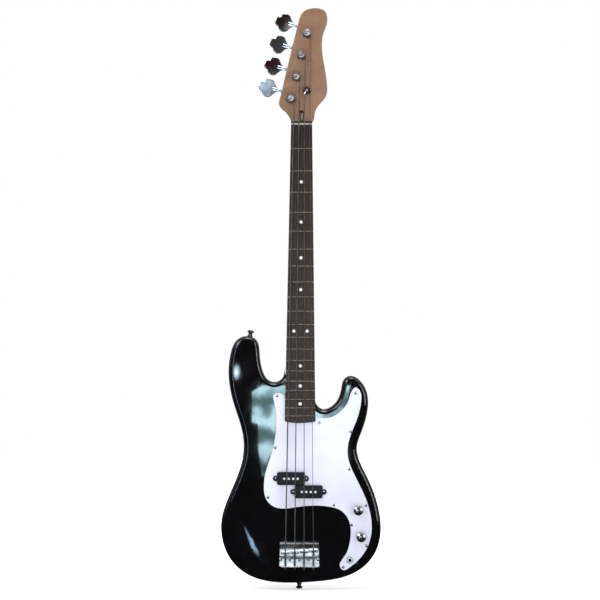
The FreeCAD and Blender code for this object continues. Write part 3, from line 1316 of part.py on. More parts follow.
def make_pickup_half(centre):
    """Cover, coil, poles, screws and pad of one pickup half."""
    bottom = front(PICKUP_TOP - PICKUP_HEIGHT)
    top = front(PICKUP_TOP)
    half_length = PICKUP_LENGTH / 2
    half_breadth = PICKUP_WIDTH / 2
    shell = rounded_block(centre.x - half_length, centre.x + half_length, top, bottom,
                          centre.z - half_breadth, centre.z + half_breadth, PICKUP_CORNER_RADIUS)
    shell = round_edges(shell, PICKUP_EDGE_RADIUS, lambda box: box.YMax < top + FIT)
    ears = [rod(EAR_RADIUS, ear + FORWARD * (EAR_TOP - EAR_THICKNESS), ear + FORWARD * EAR_TOP)
            for ear in ear_places(centre)]
    shell = shell.fuse(ears)
    inner_length = half_length - PICKUP_WALL
    inner_breadth = half_breadth - PICKUP_WALL
    ceiling = top + PICKUP_WALL
    corner = PICKUP_CORNER_RADIUS - PICKUP_WALL
    hollow = rounded_block(centre.x - inner_length, centre.x + inner_length, ceiling, bottom + OVERRUN,
                           centre.z - inner_breadth, centre.z + inner_breadth, corner)

    poles = []
    bores = []
    for k in range(POLE_COUNT):
        offset = (k - (POLE_COUNT - 1) / 2) * POLE_PITCH
        low = Vector(centre.x + offset, bottom, centre.z)
        high = Vector(centre.x + offset, top - POLE_STAND, centre.z)
        poles.append(rod(POLE_RADIUS, low, high))
        bores.append(rod(POLE_RADIUS + FIT, low + BACKWARD * OVERRUN, high + FORWARD * OVERRUN))
    places = pickup_screw_places(centre)
    ear_holes = [screw_hole(PICKUP_SCREW, place, FORWARD, False) for place in places]
    cover = shell.cut([hollow] + bores + ear_holes)

    def layer(margin, y_from, y_to, radius):
        length = inner_length - margin
        breadth = inner_breadth - margin
        return rounded_block(centre.x - length, centre.x + length, y_from, y_to,
                             centre.z - breadth, centre.z + breadth, radius).cut(bores)

    plate_top = ceiling + FIT
    coil_top = plate_top + FLATWORK_THICKNESS
    coil_bottom = bottom - FLATWORK_THICKNESS
    coil_radius = inner_breadth - COIL_MARGIN - FIT
    coil = Part.makeCompound([
        layer(FIT, plate_top, coil_top, corner),
        layer(COIL_MARGIN, coil_top, coil_bottom, coil_radius),
        layer(FIT, coil_bottom, bottom, corner),
    ])
    screws = Part.makeCompound([screw(PICKUP_SCREW, place, FORWARD, False) for place in places])
    foam = rounded_block(centre.x - half_length + FOAM_MARGIN, centre.x + half_length - FOAM_MARGIN,
                         bottom + FOAM_GAP, front(-PICKUP_CAVITY_DEPTH),
                         centre.z - half_breadth + FOAM_MARGIN, centre.z + half_breadth - FOAM_MARGIN,
                         PICKUP_CORNER_RADIUS)
    return cover, coil, Part.makeCompound(poles), screws, foam


# Controls

def make_potentiometer(place):
    """Can with a threaded bushing and three lugs, and the shaft that turns in it."""
    floor = -POT_HEIGHT
    top = GUARD_THICKNESS + POT_BUSHING_STAND
    sink = -POT_SHAFT_SINK
    bore = POT_SHAFT_RADIUS + FIT
    edge = POT_HEIGHT / 8
    profile = [(0, floor), (POT_RADIUS - edge, floor), (POT_RADIUS, floor + edge), (POT_RADIUS, 0),
               (POT_BUSHING_RADIUS, 0), (POT_BUSHING_RADIUS, top), (bore, top), (bore, sink), (0, sink)]
    can = turned(profile, place, FORWARD)
    lugs = []
    for k in range(LUG_COUNT):
        x = place.x + (k - (LUG_COUNT - 1) / 2) * LUG_SPACING
        low_y = front(-LUG_DROP)
        lugs.append(block(x - LUG_WIDTH / 2, x + LUG_WIDTH / 2, low_y, low_y + LUG_THICKNESS,
                          place.z - POT_RADIUS - LUG_LENGTH + OVERRUN, place.z - POT_RADIUS / 2))
    shaft_top = GUARD_THICKNESS + KNOB_CLEARANCE + KNOB_HEIGHT - KNOB_CAP_THICKNESS - OVERRUN
    shaft = rod(POT_SHAFT_RADIUS, place + BACKWARD * (POT_SHAFT_SINK - FIT), place + FORWARD * shaft_top)
    return can.fuse(lugs).removeSplitter(), shaft


def make_control_nut(place, bushing_radius):
    """Washer and hex nut on a threaded bushing in front of the pickguard."""
    base = place + FORWARD * GUARD_THICKNESS
    washer_top = base + FORWARD * WASHER_THICKNESS
    bore = rod(bushing_radius + FIT, base + BACKWARD * OVERRUN, base + FORWARD * (2 * NUT_HEIGHT))
    washer = rod(WASHER_RADIUS, base, washer_top).cut(bore)
    return [washer, hexagon(NUT_ACROSS_FLATS, washer_top, FORWARD, NUT_HEIGHT).cut(bore)]


def make_knob(place):
    """Knurled dome knob with its set screw."""
    low = GUARD_THICKNESS + KNOB_CLEARANCE
    high = low + KNOB_HEIGHT
    rim = high - KNOB_CROWN
    bore = POT_SHAFT_RADIUS + FIT
    recess_top = GUARD_THICKNESS + POT_BUSHING_STAND + KNOB_RECESS_GAP
    bore_top = high - KNOB_CAP_THICKNESS
    profile = [(bore, recess_top), (KNOB_RECESS_RADIUS, recess_top), (KNOB_RECESS_RADIUS, low),
               (KNOB_RADIUS, low), (KNOB_RADIUS, rim), crown(KNOB_RADIUS, rim, high), (0, bore_top),
               (bore, bore_top)]
    knob = turned(profile, place, FORWARD)
    groove_low = recess_top + KNOB_RECESS_GAP
    groove_reach = KNOB_RADIUS + KNOB_GROOVE_WIDTH - KNOB_GROOVE_DEPTH
    grooves = []
    for k in range(KNOB_GROOVE_COUNT):
        angle = 2 * math.pi * k / KNOB_GROOVE_COUNT
        axis = place + Vector(math.cos(angle), 0, math.sin(angle)) * groove_reach
        grooves.append(rod(KNOB_GROOVE_WIDTH, axis + FORWARD * groove_low, axis + FORWARD * rim))
    middle = place + FORWARD * ((groove_low + rim) / 2)
    outward = Vector(0, 0, -1)
    outer = middle + outward * (KNOB_RADIUS - KNOB_GROOVE_DEPTH)
    hole = rod(SET_SCREW_RADIUS + FIT, middle, outer + outward * OVERRUN)
    set_screw = rod(SET_SCREW_RADIUS, outer - outward * SET_SCREW_LENGTH, outer)
    return Part.makeCompound([knob.cut(grooves + [hole]), set_screw])


def jack_stack_foot(place):
    """Where the jack's lead meets the foot of its tip leaf."""
    depth = JACK_FLANGE_THICKNESS + JACK_STACK_LENGTH + JACK_LEAF_THICKNESS + FIT
    x = place.x + JACK_BORE_RADIUS + JACK_STACK_WIDTH - WIRE_RADIUS
    return Vector(x, front(-depth), place.z)


def make_output_jack(place):
    """Open jack: threaded sleeve with its flange, insulator and tip leaf."""
    floor = -JACK_FLANGE_THICKNESS
    top = GUARD_THICKNESS + JACK_BUSHING_STAND
    profile = [(JACK_BORE_RADIUS, floor), (JACK_FLANGE_RADIUS, floor), (JACK_FLANGE_RADIUS, 0),
               (JACK_BUSHING_RADIUS, 0), (JACK_BUSHING_RADIUS, top), (JACK_BORE_RADIUS, top)]
    sleeve = turned(profile, place, FORWARD)
    x_in = place.x + JACK_BORE_RADIUS + FIT
    stack_y = front(floor)
    z_low = place.z - JACK_LEAF_WIDTH / 2
    leaf_y = stack_y + JACK_STACK_LENGTH
    stack = block(x_in, x_in + JACK_STACK_WIDTH, stack_y, leaf_y, z_low, z_low + JACK_LEAF_WIDTH)
    end_y = leaf_y + JACK_LEAF_LENGTH
    thick = JACK_LEAF_THICKNESS
    inner = place.x + JACK_BORE_RADIUS / 2
    corners = [
        (x_in, leaf_y), (x_in + JACK_STACK_WIDTH, leaf_y), (x_in + JACK_STACK_WIDTH, leaf_y + thick),
        (x_in + thick, leaf_y + thick), (x_in + thick, end_y - JACK_STACK_LENGTH), (inner + thick, end_y),
        (inner, end_y), (x_in, end_y - JACK_STACK_LENGTH), (x_in, leaf_y),
    ]
    face = Part.Face(Part.makePolygon([Vector(x, y, z_low) for x, y in corners]))
    leaf = face.extrude(UP * JACK_LEAF_WIDTH)
    return [sleeve, stack, leaf]


def lug_tip(place, number):
    """Free end of a potentiometer's lug, on the side away from the pickguard."""
    x = place.x + (number - (LUG_COUNT - 1) / 2) * LUG_SPACING
    return Vector(x, front(-LUG_DROP) + LUG_THICKNESS + FIT, place.z - POT_RADIUS - LUG_LENGTH + OVERRUN)


def make_capacitor(tone):
    """Disc capacitor behind the tone control's lugs, with two legs down to them."""
    first = lug_tip(tone, 0)
    second = lug_tip(tone, 1)
    lead = WIRE_RADIUS / 2
    centre = (first + second) / 2 + BACKWARD * (CAPACITOR_RADIUS + 2 * LUG_LENGTH)
    half = Vector(0, 0, CAPACITOR_THICKNESS / 2)
    disc = rod(CAPACITOR_RADIUS, centre - half, centre + half)
    disc = disc.makeFillet(CAPACITOR_EDGE, [e for e in disc.Edges if e.BoundBox.ZLength < FIT])
    solids = [disc]
    for tip in (first, second):
        foot = tip + UP * (2 * lead)
        end_y = centre.y - math.sqrt(CAPACITOR_RADIUS ** 2 - (tip.x - centre.x) ** 2) + OVERRUN
        leg = rod(lead, foot, Vector(foot.x, end_y, foot.z)).cut(disc)
        solids.append(leg)
    return Part.makeCompound(solids)


def wire(points):
    bends = [WIRE_BEND_RADIUS] * (len(points) - 2)
    return tube(rounded_path(points, bends), WIRE_RADIUS)


def at_depth(point, depth):
    """Point straight behind another at a depth below the body's front face."""
    return Vector(point.x, front(-depth), point.z)


def make_lead_wires():
    """Pickup lead, link between the controls, jack lead and bridge ground wire."""
    volume, tone, jack = control_places()
    treble_half = pickup_places()[1]
    along = Vector(volume.x - treble_half.x, 0, volume.z - treble_half.z).normalize()
    run_depth = CHANNEL_DEPTH - WIRE_DROP
    under_coil = PICKUP_HEIGHT - PICKUP_TOP + FIT
    leave = at_depth(treble_half + along * (PICKUP_LENGTH * LEAD_START_SHARE), under_coil)
    lugs = [lug_tip(volume, number) + UP * LUG_WIDTH for number in range(LUG_COUNT)]
    enter = volume - along * (CONTROL_CAVITY_RADIUS / 2)
    run = [at_depth(point, run_depth) for point in (leave, enter, lugs[0])]
    lead = wire([leave] + run + [lugs[0]])

    tone_lug = lug_tip(tone, LUG_COUNT - 1) + UP * LUG_WIDTH
    link = wire([lugs[1], at_depth(lugs[1], LINK_DEPTH), at_depth(tone_lug, LINK_DEPTH), tone_lug])
    stack = jack_stack_foot(jack)
    jack_lead = wire([lugs[2], at_depth(lugs[2], JACK_LEAD_DEPTH), at_depth(stack, JACK_LEAD_DEPTH), stack])

    ground_start, ground_end = ground_wire_places()
    tail = (ground_end - ground_start).normalize()
    flange = at_depth(ground_end, JACK_FLANGE_THICKNESS + FIT)
    ground = wire([ground_start + tail * WIRE_BEND_RADIUS, ground_end, flange])
    return Part.makeCompound([lead, link, jack_lead, ground])


# Tuning machines

def tuner_frame(index):
    """Placement of a tuning machine on the back of the headstock."""
    lean = math.radians(TUNER_LEAN)
    origin = post_place(index) + BACKWARD * HEAD_THICKNESS
    matrix = FreeCAD.Matrix(-math.cos(lean), math.sin(lean), 0, origin.x,
                            0, 0, 1, origin.y,
                            math.sin(lean), math.cos(lean), 0, origin.z,
                            0, 0, 0, 1)
    return FreeCAD.Placement(matrix)


def placed(solid, index):
    """Copy of a solid moved from the tuning machine's own frame into its place."""
    copy = solid.copy()
    copy.Placement = tuner_frame(index).multiply(copy.Placement)
    return copy


def tuner_screw_points():
    side = TUNER_PLATE_WIDTH / 2 - TUNER_SCREW_INSET
    low = -TUNER_PLATE_BELOW + TUNER_SCREW_INSET
    high = TUNER_PLATE_ABOVE - TUNER_SCREW_INSET
    return [Vector(x, y, TUNER_PLATE_THICKNESS) for x in (-side, side) for y in (low, high)]


def tuner_screw_places(index):
    frame = tuner_frame(index)
    return [frame.multVec(point) for point in tuner_screw_points()]


def worm_centre():
    return Vector(0, GEAR_RADIUS + WORM_RADIUS, WORM_AXIS_HEIGHT)


def worm_half_length():
    """Half length of the worm between the two ears."""
    root_width = WORM_PITCH / 4 + TOOTH_DROP * math.tan(math.radians(PRESSURE_ANGLE))
    return WORM_PITCH * WORM_TURNS / 2 + root_width + WORM_SHOULDER


def flank_half_width(rise):
    """Half width of a rack tooth at a height above its pitch line."""
    return WORM_PITCH / 4 - TOOTH_SLACK - rise * math.tan(math.radians(PRESSURE_ANGLE))


def make_worm_thread():
    """Single right-hand thread about the X axis, as a ruled run of trapezoids."""
    inner = WORM_RADIUS - TOOTH_DROP - WORM_SINK
    outer = WORM_RADIUS + TOOTH_RISE
    low_half = flank_half_width(-TOOTH_DROP - WORM_SINK)
    high_half = flank_half_width(TOOTH_RISE)
    profile = ((inner, -low_half), (outer, -high_half), (outer, high_half), (inner, low_half))
    sections = []
    for k in range(WORM_TURNS * WORM_STEPS + 1):
        turn = k / WORM_STEPS
        angle = 2 * math.pi * turn
        along = WORM_PITCH * (turn - WORM_TURNS / 2)
        corners = []
        for radius, offset in profile:
            corners.append(Vector(along + offset, radius * math.cos(angle), radius * math.sin(angle)))
        sections.append(Part.makePolygon(corners + corners[:1]))
    return Part.makeLoft(sections, True, True)


def key_flank(side):
    """Edges along one side of a key's blade, from the stem's flare round a side leaf."""
    centre = Vector(KEY_SIDE_LEAF_REACH, side * KEY_SIDE_LEAF_SPREAD / 2, 0)
    start = Vector(KEY_FLARE_START, side * KEY_LEAF_THICKNESS / 2, 0)
    turn = math.radians(KEY_FLARE_ANGLE)

    def on_leaf(angle):
        return centre + Vector(math.cos(angle), side * math.sin(angle), 0) * KEY_SIDE_LEAF_RADIUS

    leaving = Vector(math.sin(turn), -side * math.cos(turn), 0)
    flare = biarc(start, Vector(1, 0, 0), on_leaf(turn), leaving)
    return flare + [Part.Arc(on_leaf(turn), on_leaf(turn / 2), on_leaf(0)).toShape()]


def make_key_blade():
    """Flat blade of a key with two side leaves and an end leaf, all with rounded rims."""
    low = UP * (-KEY_LEAF_THICKNESS / 2)
    flanks = [key_flank(side) for side in (1, -1)]
    ends = [Part.makeLine(flanks[0][0].firstVertex(True).Point, flanks[1][0].firstVertex(True).Point),
            Part.makeLine(flanks[0][-1].lastVertex(True).Point, flanks[1][-1].lastVertex(True).Point)]
    outline = Part.Wire(Part.sortEdges(flanks[0] + flanks[1] + ends)[0])
    neck = Part.Face(outline).extrude(UP * KEY_LEAF_THICKNESS)
    neck.translate(low)
    end = Vector(KEY_END_LEAF_REACH, 0, 0) + low
    leaf = rod(KEY_END_LEAF_RADIUS, end, end + UP * KEY_LEAF_THICKNESS)
    rounded = []
    for solid in (neck, leaf):
        rims = [edge for edge in solid.Edges
                if edge.BoundBox.ZLength < FIT and not isinstance(edge.Curve, Part.Line)]
        rounded.append(solid.makeFillet(KEY_LEAF_EDGE, rims))
    return rounded


def make_key():
    """Worm on its shaft and the three-leafed key pressed on the shaft's end."""
    across = Vector(1, 0, 0)
    half = worm_half_length()
    origin = Vector(0, 0, 0)
    core = rod(WORM_RADIUS - TOOTH_DROP, origin - across * half, origin + across * half)
    tail = half + EAR_PLATE_GAP + EAR_PLATE_THICKNESS + OVERRUN
    pressed = KEY_STEM_END - OVERRUN
    shaft = rod(KEY_SHAFT_RADIUS, origin - across * tail, origin + across * pressed)
    worm = core.fuse([make_worm_thread(), shaft]).removeSplitter()

    stem = Part.makeCone(KEY_STEM_START_RADIUS, KEY_STEM_END_RADIUS, KEY_STEM_END - KEY_STEM_START,
                         across * KEY_STEM_START, across)
    button = stem.fuse(make_key_blade())
    button = button.cut(rod(KEY_SHAFT_RADIUS + FIT, origin, across * (pressed + FIT)))
    solids = [worm, button]
    for solid in solids:
        solid.translate(worm_centre())
    return solids


def make_gear():
    """Worm wheel with slanted teeth and a square hole for the post."""
    pitch_angle = 2 * math.pi / GEAR_TEETH
    points = []
    for k in range(GEAR_TEETH):
        centre = math.pi / 2 + k * pitch_angle
        for rise, side in ((-TOOTH_DROP, -1), (TOOTH_RISE, -1), (TOOTH_RISE, 1), (-TOOTH_DROP, 1)):
            radius = GEAR_RADIUS + rise
            points.append((radius, centre + side * flank_half_width(rise) / radius))
    half = GEAR_THICKNESS / 2
    twist = WORM_PITCH * half / (2 * math.pi * WORM_RADIUS) / GEAR_RADIUS
    sections = []
    for side in (-1, 1):
        z = WORM_AXIS_HEIGHT + side * half
        ring = [Vector(r * math.cos(a + side * twist), r * math.sin(a + side * twist), z) for r, a in points]
        sections.append(Part.makePolygon(ring + ring[:1]))
    wheel = Part.makeLoft(sections, True, True)
    width = POST_TENON_WIDTH / 2 + FIT
    hole = block(-width, width, -width, width,
                 WORM_AXIS_HEIGHT - GEAR_THICKNESS, WORM_AXIS_HEIGHT + GEAR_THICKNESS)
    return wheel.cut(hole)


def make_post(index):
    """Slotted post with its worm wheel and wheel screw, the slot turned to meet the string's tail."""
    tip = -HEAD_THICKNESS - POST_STAND
    hub_low = TUNER_PLATE_THICKNESS + EAR_PLATE_GAP
    hub_high = WORM_AXIS_HEIGHT - GEAR_THICKNESS / 2
    gear_top = WORM_AXIS_HEIGHT + GEAR_THICKNESS / 2
    profile = [(0, tip), (POST_RADIUS - POST_CHAMFER, tip), (POST_RADIUS, tip + POST_CHAMFER),
               (POST_RADIUS, hub_low), (POST_HUB_RADIUS, hub_low), (POST_HUB_RADIUS, hub_high), (0, hub_high)]
    post = turned(profile, Vector(0, 0, 0), UP)
    half = POST_TENON_WIDTH / 2
    post = post.fuse(block(-half, half, -half, half, hub_high, gear_top)).removeSplitter()
    slot_half = POST_SLOT_WIDTH / 2
    slot = block(-POST_RADIUS - OVERRUN, POST_RADIUS + OVERRUN, -slot_half, slot_half,
                 tip - OVERRUN, tip + POST_SLOT_DEPTH)
    slot_angle = string_layout(index)[2]
    direction = Vector(math.cos(slot_angle), 0, math.sin(slot_angle))
    local = tuner_frame(index).Rotation.inverted().multVec(direction)
    slot.rotate(Vector(0, 0, 0), UP, math.degrees(math.atan2(local.y, local.x)))
    seat = Vector(0, 0, gear_top)
    post = post.cut([slot, screw_hole(GEAR_SCREW, seat, UP, False)])
    return [post, make_gear(), screw(GEAR_SCREW, seat, UP, False)]


def make_bushing():
    """Ferrule pressed into the headstock round the post."""
    face = -HEAD_THICKNESS
    bore = POST_RADIUS + FIT
    top = face - BUSHING_FLANGE_THICKNESS
    bevel = BUSHING_FLANGE_THICKNESS / 2
    profile = [(bore, face + BUSHING_LENGTH), (BUSHING_RADIUS, face + BUSHING_LENGTH), (BUSHING_RADIUS, face),
               (BUSHING_FLANGE_RADIUS, face), (BUSHING_FLANGE_RADIUS, top + bevel),
               (BUSHING_FLANGE_RADIUS - bevel, top), (bore, top)]
    return turned(profile, Vector(0, 0, 0), UP)


def make_tuner_plate():
    """Base plate with two ears that carry the worm's shaft."""
    half = TUNER_PLATE_WIDTH / 2
    plate = Part.makeBox(TUNER_PLATE_WIDTH, TUNER_PLATE_BELOW + TUNER_PLATE_ABOVE, TUNER_PLATE_THICKNESS,
                         Vector(-half, -TUNER_PLATE_BELOW, 0))
    plate = round_edges(plate, TUNER_PLATE_CORNER, lambda box: box.ZLength > max(box.XLength, box.YLength))
    centre = worm_centre()
    ears = []
    across = Vector(1, 0, 0)
    for side in (-1, 1):
        inner = side * (worm_half_length() + EAR_PLATE_GAP)
        low = min(inner, inner + side * EAR_PLATE_THICKNESS)
        foot = Part.makeBox(EAR_PLATE_THICKNESS, EAR_PLATE_WIDTH, WORM_AXIS_HEIGHT,
                            Vector(low, centre.y - EAR_PLATE_WIDTH / 2, 0))
        start = Vector(low, centre.y, centre.z)
        ears += [foot, rod(EAR_PLATE_WIDTH / 2, start, start + across * EAR_PLATE_THICKNESS)]
    reach = across * TUNER_PLATE_WIDTH
    tools = [rod(KEY_SHAFT_RADIUS + FIT, centre - reach, centre + reach)]
    tools.append(rod(POST_RADIUS + 2 * FIT, UP * -OVERRUN, UP * (TUNER_PLATE_THICKNESS + OVERRUN)))
    tools += [screw_hole(TUNER_SCREW, point, UP, False) for point in tuner_screw_points()]
    return plate.fuse(ears).removeSplitter().cut(tools)


def make_tuners():
    """Nodes of the four tuning machines."""
    nodes = {}
    key = make_key()
    plate = make_tuner_plate()
    bushing = make_bushing()
    plates = []
    bushings = []
    screws = []
    for index, name in enumerate(STRINGS):
        nodes[f"tuner_key_{name}"] = Part.makeCompound([placed(solid, index) for solid in key])
        nodes[f"tuner_post_{name}"] = Part.makeCompound([placed(solid, index) for solid in make_post(index)])
        plates.append(placed(plate, index))
        bushings.append(placed(bushing, index))
        screws += [screw(TUNER_SCREW, place, BACKWARD, False) for place in tuner_screw_places(index)]
    screws.append(screw(TREE_SCREW, tree_place() + FORWARD * tree_top(), FORWARD, True))
    nodes["tuner_plates"] = Part.makeCompound(plates)
    nodes["tuner_bushings"] = Part.makeCompound(bushings)
    nodes["headstock_screws"] = Part.makeCompound(screws)
    return nodes


def make_nodes():
    nodes = {"body": make_body(), "pickguard": make_pickguard()}
    nodes["pickguard_screws"] = Part.makeCompound(
        [screw(GUARD_SCREW, place, FORWARD, True) for place in guard_screw_places()])
    nodes["strap_buttons"], nodes["strap_button_screws"] = make_strap_buttons()

    nodes["neck"] = make_neck()
    nodes["fretboard"] = make_fretboard()
    nodes["frets"] = Part.makeCompound([fret_solid(number, 0, True) for number in range(1, FRET_COUNT + 1)])
    nodes["position_markers"] = make_position_markers()
    nodes["nut"] = make_nut()
    nodes["truss_rod"], nodes["truss_rod_nut"] = make_truss_rod()
    nodes["neck_plate"] = make_neck_plate()
    nodes["neck_screws"] = Part.makeCompound(
        [screw(NECK_SCREW, place, BACKWARD, True) for place in neck_screw_places()])
    nodes["string_tree"] = make_string_tree()

    nodes["bridge_plate"] = make_bridge_plate()
    nodes["bridge_screws"] = Part.makeCompound(
        [screw(BRIDGE_SCREW, place, FORWARD, False) for place in bridge_screw_places()])
    for index, name in enumerate(STRINGS):
        nodes[f"string_{name}"] = make_string(index)
        nodes[f"saddle_{name}"] = make_saddle(index)
        nodes[f"intonation_screw_{name}"] = make_intonation_screw(index)
    nodes["intonation_springs"] = Part.makeCompound([make_spring(index) for index in range(len(STRINGS))])

    pads = []
    for side, centre in zip(("bass", "treble"), pickup_places()):
        cover, coil, poles, screws, pad = make_pickup_half(centre)
        nodes[f"pickup_cover_{side}"] = cover
        nodes[f"pickup_coil_{side}"] = coil
        nodes[f"pole_pieces_{side}"] = poles
        nodes[f"pickup_screws_{side}"] = screws
        pads.append(pad)
    nodes["pickup_foam"] = Part.makeCompound(pads)

    volume, tone, jack = control_places()
    cans = []
    nuts = make_control_nut(jack, JACK_BUSHING_RADIUS)
    for name, place in (("volume", volume), ("tone", tone)):
        can, shaft = make_potentiometer(place)
        cans.append(can)
        nodes[f"{name}_shaft"] = shaft
        nodes[f"{name}_knob"] = make_knob(place)
        nuts += make_control_nut(place, POT_BUSHING_RADIUS)
    nodes["potentiometers"] = Part.makeCompound(cans)
    nodes["control_nuts"] = Part.makeCompound(nuts)
    nodes["output_jack"] = Part.makeCompound(make_output_jack(jack))
    nodes["tone_capacitor"] = make_capacitor(tone)
    nodes["lead_wires"] = make_lead_wires()
    nodes.update(make_tuners())
    return nodes


def main():
    os.makedirs("parts", exist_ok=True)
    for name, shape in make_nodes().items():
        shape.exportStep(f"parts/{name}.step")


main()
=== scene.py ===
import json
import math

import bpy
import numpy as np
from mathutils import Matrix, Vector


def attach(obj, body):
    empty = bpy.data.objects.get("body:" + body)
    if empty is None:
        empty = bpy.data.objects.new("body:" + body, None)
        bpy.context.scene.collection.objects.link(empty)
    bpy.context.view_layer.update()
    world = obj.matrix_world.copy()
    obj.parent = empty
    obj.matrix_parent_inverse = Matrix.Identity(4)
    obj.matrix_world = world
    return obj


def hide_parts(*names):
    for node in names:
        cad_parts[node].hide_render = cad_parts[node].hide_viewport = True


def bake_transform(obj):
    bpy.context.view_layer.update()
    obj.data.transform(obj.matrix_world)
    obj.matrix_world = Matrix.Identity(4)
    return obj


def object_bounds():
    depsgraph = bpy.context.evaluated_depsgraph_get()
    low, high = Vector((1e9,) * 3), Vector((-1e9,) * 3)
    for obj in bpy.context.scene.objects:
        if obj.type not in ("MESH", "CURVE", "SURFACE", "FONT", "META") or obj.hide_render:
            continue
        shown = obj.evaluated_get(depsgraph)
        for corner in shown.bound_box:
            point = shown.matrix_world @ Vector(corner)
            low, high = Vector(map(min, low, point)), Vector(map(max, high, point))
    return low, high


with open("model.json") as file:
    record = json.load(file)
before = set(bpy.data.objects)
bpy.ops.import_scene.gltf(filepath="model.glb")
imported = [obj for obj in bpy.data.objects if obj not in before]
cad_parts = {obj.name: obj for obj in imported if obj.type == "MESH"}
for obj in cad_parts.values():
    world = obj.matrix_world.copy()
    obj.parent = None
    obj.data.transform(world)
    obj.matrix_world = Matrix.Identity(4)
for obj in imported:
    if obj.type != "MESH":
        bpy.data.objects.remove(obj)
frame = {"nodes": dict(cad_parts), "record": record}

CAD_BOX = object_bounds()
NODES = frame["nodes"]
RECORD = frame["record"]
SCENE = bpy.context.scene
MM = 0.001
ROOT = "instrument"

# Strings: diameter, whole turns on the post before the last half turn, centre of the post, and the corners of the
# string: ball, saddle, nut, tree where there is one, and landing on the post
STRINGS = {
    "e": (2.67, 1, (-22.20, -21.4, 984.70),
          [(-28.5, -32.70, 32.5), (-28.5, -35.44, 62.5), (-16.40, -33.18, 933.35), (-14.42, -26.93, 984.40)]),
    "a": (2.16, 2, (-11.45, -21.4, 1029.02),
          [(-9.5, -32.70, 32.5), (-9.5, -36.69, 64.0), (-5.47, -33.42, 933.35), (-3.93, -26.68, 1028.89)]),
    "d": (1.65, 2, (-0.71, -21.4, 1073.33),
          [(9.5, -32.70, 32.5), (9.5, -36.44, 65.5), (5.47, -33.16, 933.35), (6.01, -24.60, 1001.30),
           (6.57, -26.42, 1073.28)]),
    "g": (1.14, 3, (10.04, -21.4, 1117.65),
          [(28.5, -32.70, 32.5), (28.5, -34.68, 67.0), (16.40, -32.41, 933.35), (16.65, -24.60, 1001.30),
           (17.06, -26.17, 1117.62)]),
}
STRING_SPACING = 14.0
STRING_RING = 14
SADDLE_RADIUS = 4.0
# Radius of the bends at the nut and at the tree
NUT_BEND = 43.0
# Points by which a run goes on inside the first turn, and its thickness there
OVERLAP_POINTS = 2
OVERLAP_SHARE = 0.9
# Turns on a post: its radius, the gaps below and between turns, the last bend in diameters, and the fineness
POST_RADIUS = 6.3
REST_GAP = 0.15
STEP_GAP = 1.4
TAIL_BEND_SHARE = 1.05
TURN_DEGREES = 9
TAIL_STEPS = 8
# Ball at the end of a string: rounding of its edges, depth of its groove, and the dimple for the string
BALL_RADIUS = 2.8
BALL_LENGTH = 4.5
BALL_EDGE = 0.5
BALL_GROOVE_SIDE = 0.55
BALL_GROOVE = 0.7
BALL_DIMPLE = 0.8
BALL_RING = 24
# Pitch of the winding, in metres
WRAP_PITCH = 0.00055

# Springs on the intonation screws: seat, direction, first and last rise along the screw
SPRINGS = {
    "e": ((-28.5, -27.0, 33.0), (0.0, -0.13466, 0.99089), 2.9, 25.22),
    "a": ((-9.5, -27.0, 33.0), (0.0, -0.17508, 0.98455), 2.9, 26.94),
    "d": ((9.5, -27.0, 33.0), (0.0, -0.16723, 0.98592), 2.9, 28.41),
    "g": ((28.5, -27.0, 33.0), (0.0, -0.11710, 0.99312), 2.9, 29.69),
}
SPRING_WIRE = 0.7
# Wider than in the CAD, so that a spring clears its screw when the saddle slides
SPRING_RADIUS = 2.65
SPRING_TURNS = 9
SPRING_STEPS = 24
SPRING_RING = 10
# Rise of the closed end turns against the mean rise
SPRING_EASE = 0.55

# Foam pads under the pickup halves: centre, half sizes, and the two depths between which they are pressed
PADS = {"pickup_bass": (-17.9, 212.6), "pickup_treble": (18.0, 185.9)}
PAD_HALF = (21.2, 6.0)
PAD_FRONT = -12.8
PAD_BACK = 0.5
PAD_ROWS = 14
PAD_COLUMNS = 48
# Squareness of the outline, draw-in of the ends and of their rims, share of the height in a rim, and uneven sides
PAD_POWER = 0.32
PAD_DRAW = 0.10
PAD_RIM_DRAW = 0.12
PAD_RIM = 0.08
PAD_RIPPLE = 0.012

# Leads in the cavities, as the corners of their routes
LEADS = {
    "pickup_lead": [(41.84, -12.95, 177.2), (41.84, -4.9, 177.2), (111.33, -4.9, 151.86), (114.32, -4.9, 135.15),
                    (114.32, -18.65, 135.15)],
    "link_lead": [(119.32, -18.65, 135.15), (119.32, -6.5, 135.15), (130.51, -6.5, 80.98), (130.51, -18.65, 80.98)],
    "jack_lead": [(124.32, -18.65, 135.15), (124.32, 3.5, 135.15), (109.09, 3.5, 47.64), (109.09, -14.05, 47.64)],
    "ground_lead": [(32.73, -21.11, 59.14), (95.94, -2.5, 47.64), (95.94, -19.85, 47.64)],
}
LEAD_RADIUS = 0.8
LEAD_BEND = 5.0
LEAD_SPACING = 4.0
LEAD_RING = 10

# Back of the neck at the headstock: depth of the shaft by distance from its middle, and of the ramp by height
SHAFT_BACK = ((0, -10.44), (2, -10.52), (3, -10.58), (4, -10.66), (5, -10.82), (8, -11.49), (12, -12.88),
              (16, -15.25), (18, -17.0))
HEAD_RAMP = ((950, -16.89), (952, -15.80), (954, -14.53), (956, -13.07), (958, -11.33), (960, -9.55), (962, -7.40))
SHAFT_END = 950.4
# Wood between the two: half width, rise along it, how far it sinks into the shaft and runs into the ramp, its slope
# there, its bed below the ramp, and the grid of its face
VOLUTE_HALF = 17.6
VOLUTE_RISE = 1.6
VOLUTE_SINK = 0.06
VOLUTE_PAST = 0.2
VOLUTE_SLOPE = 0.6
VOLUTE_BED = 1.0
VOLUTE_COLUMNS = 45
VOLUTE_ROWS = 14
# Slot of the truss rod nut in front of that wood
ACCESS_HALF = 4.0
ACCESS_FLOOR = -13.4

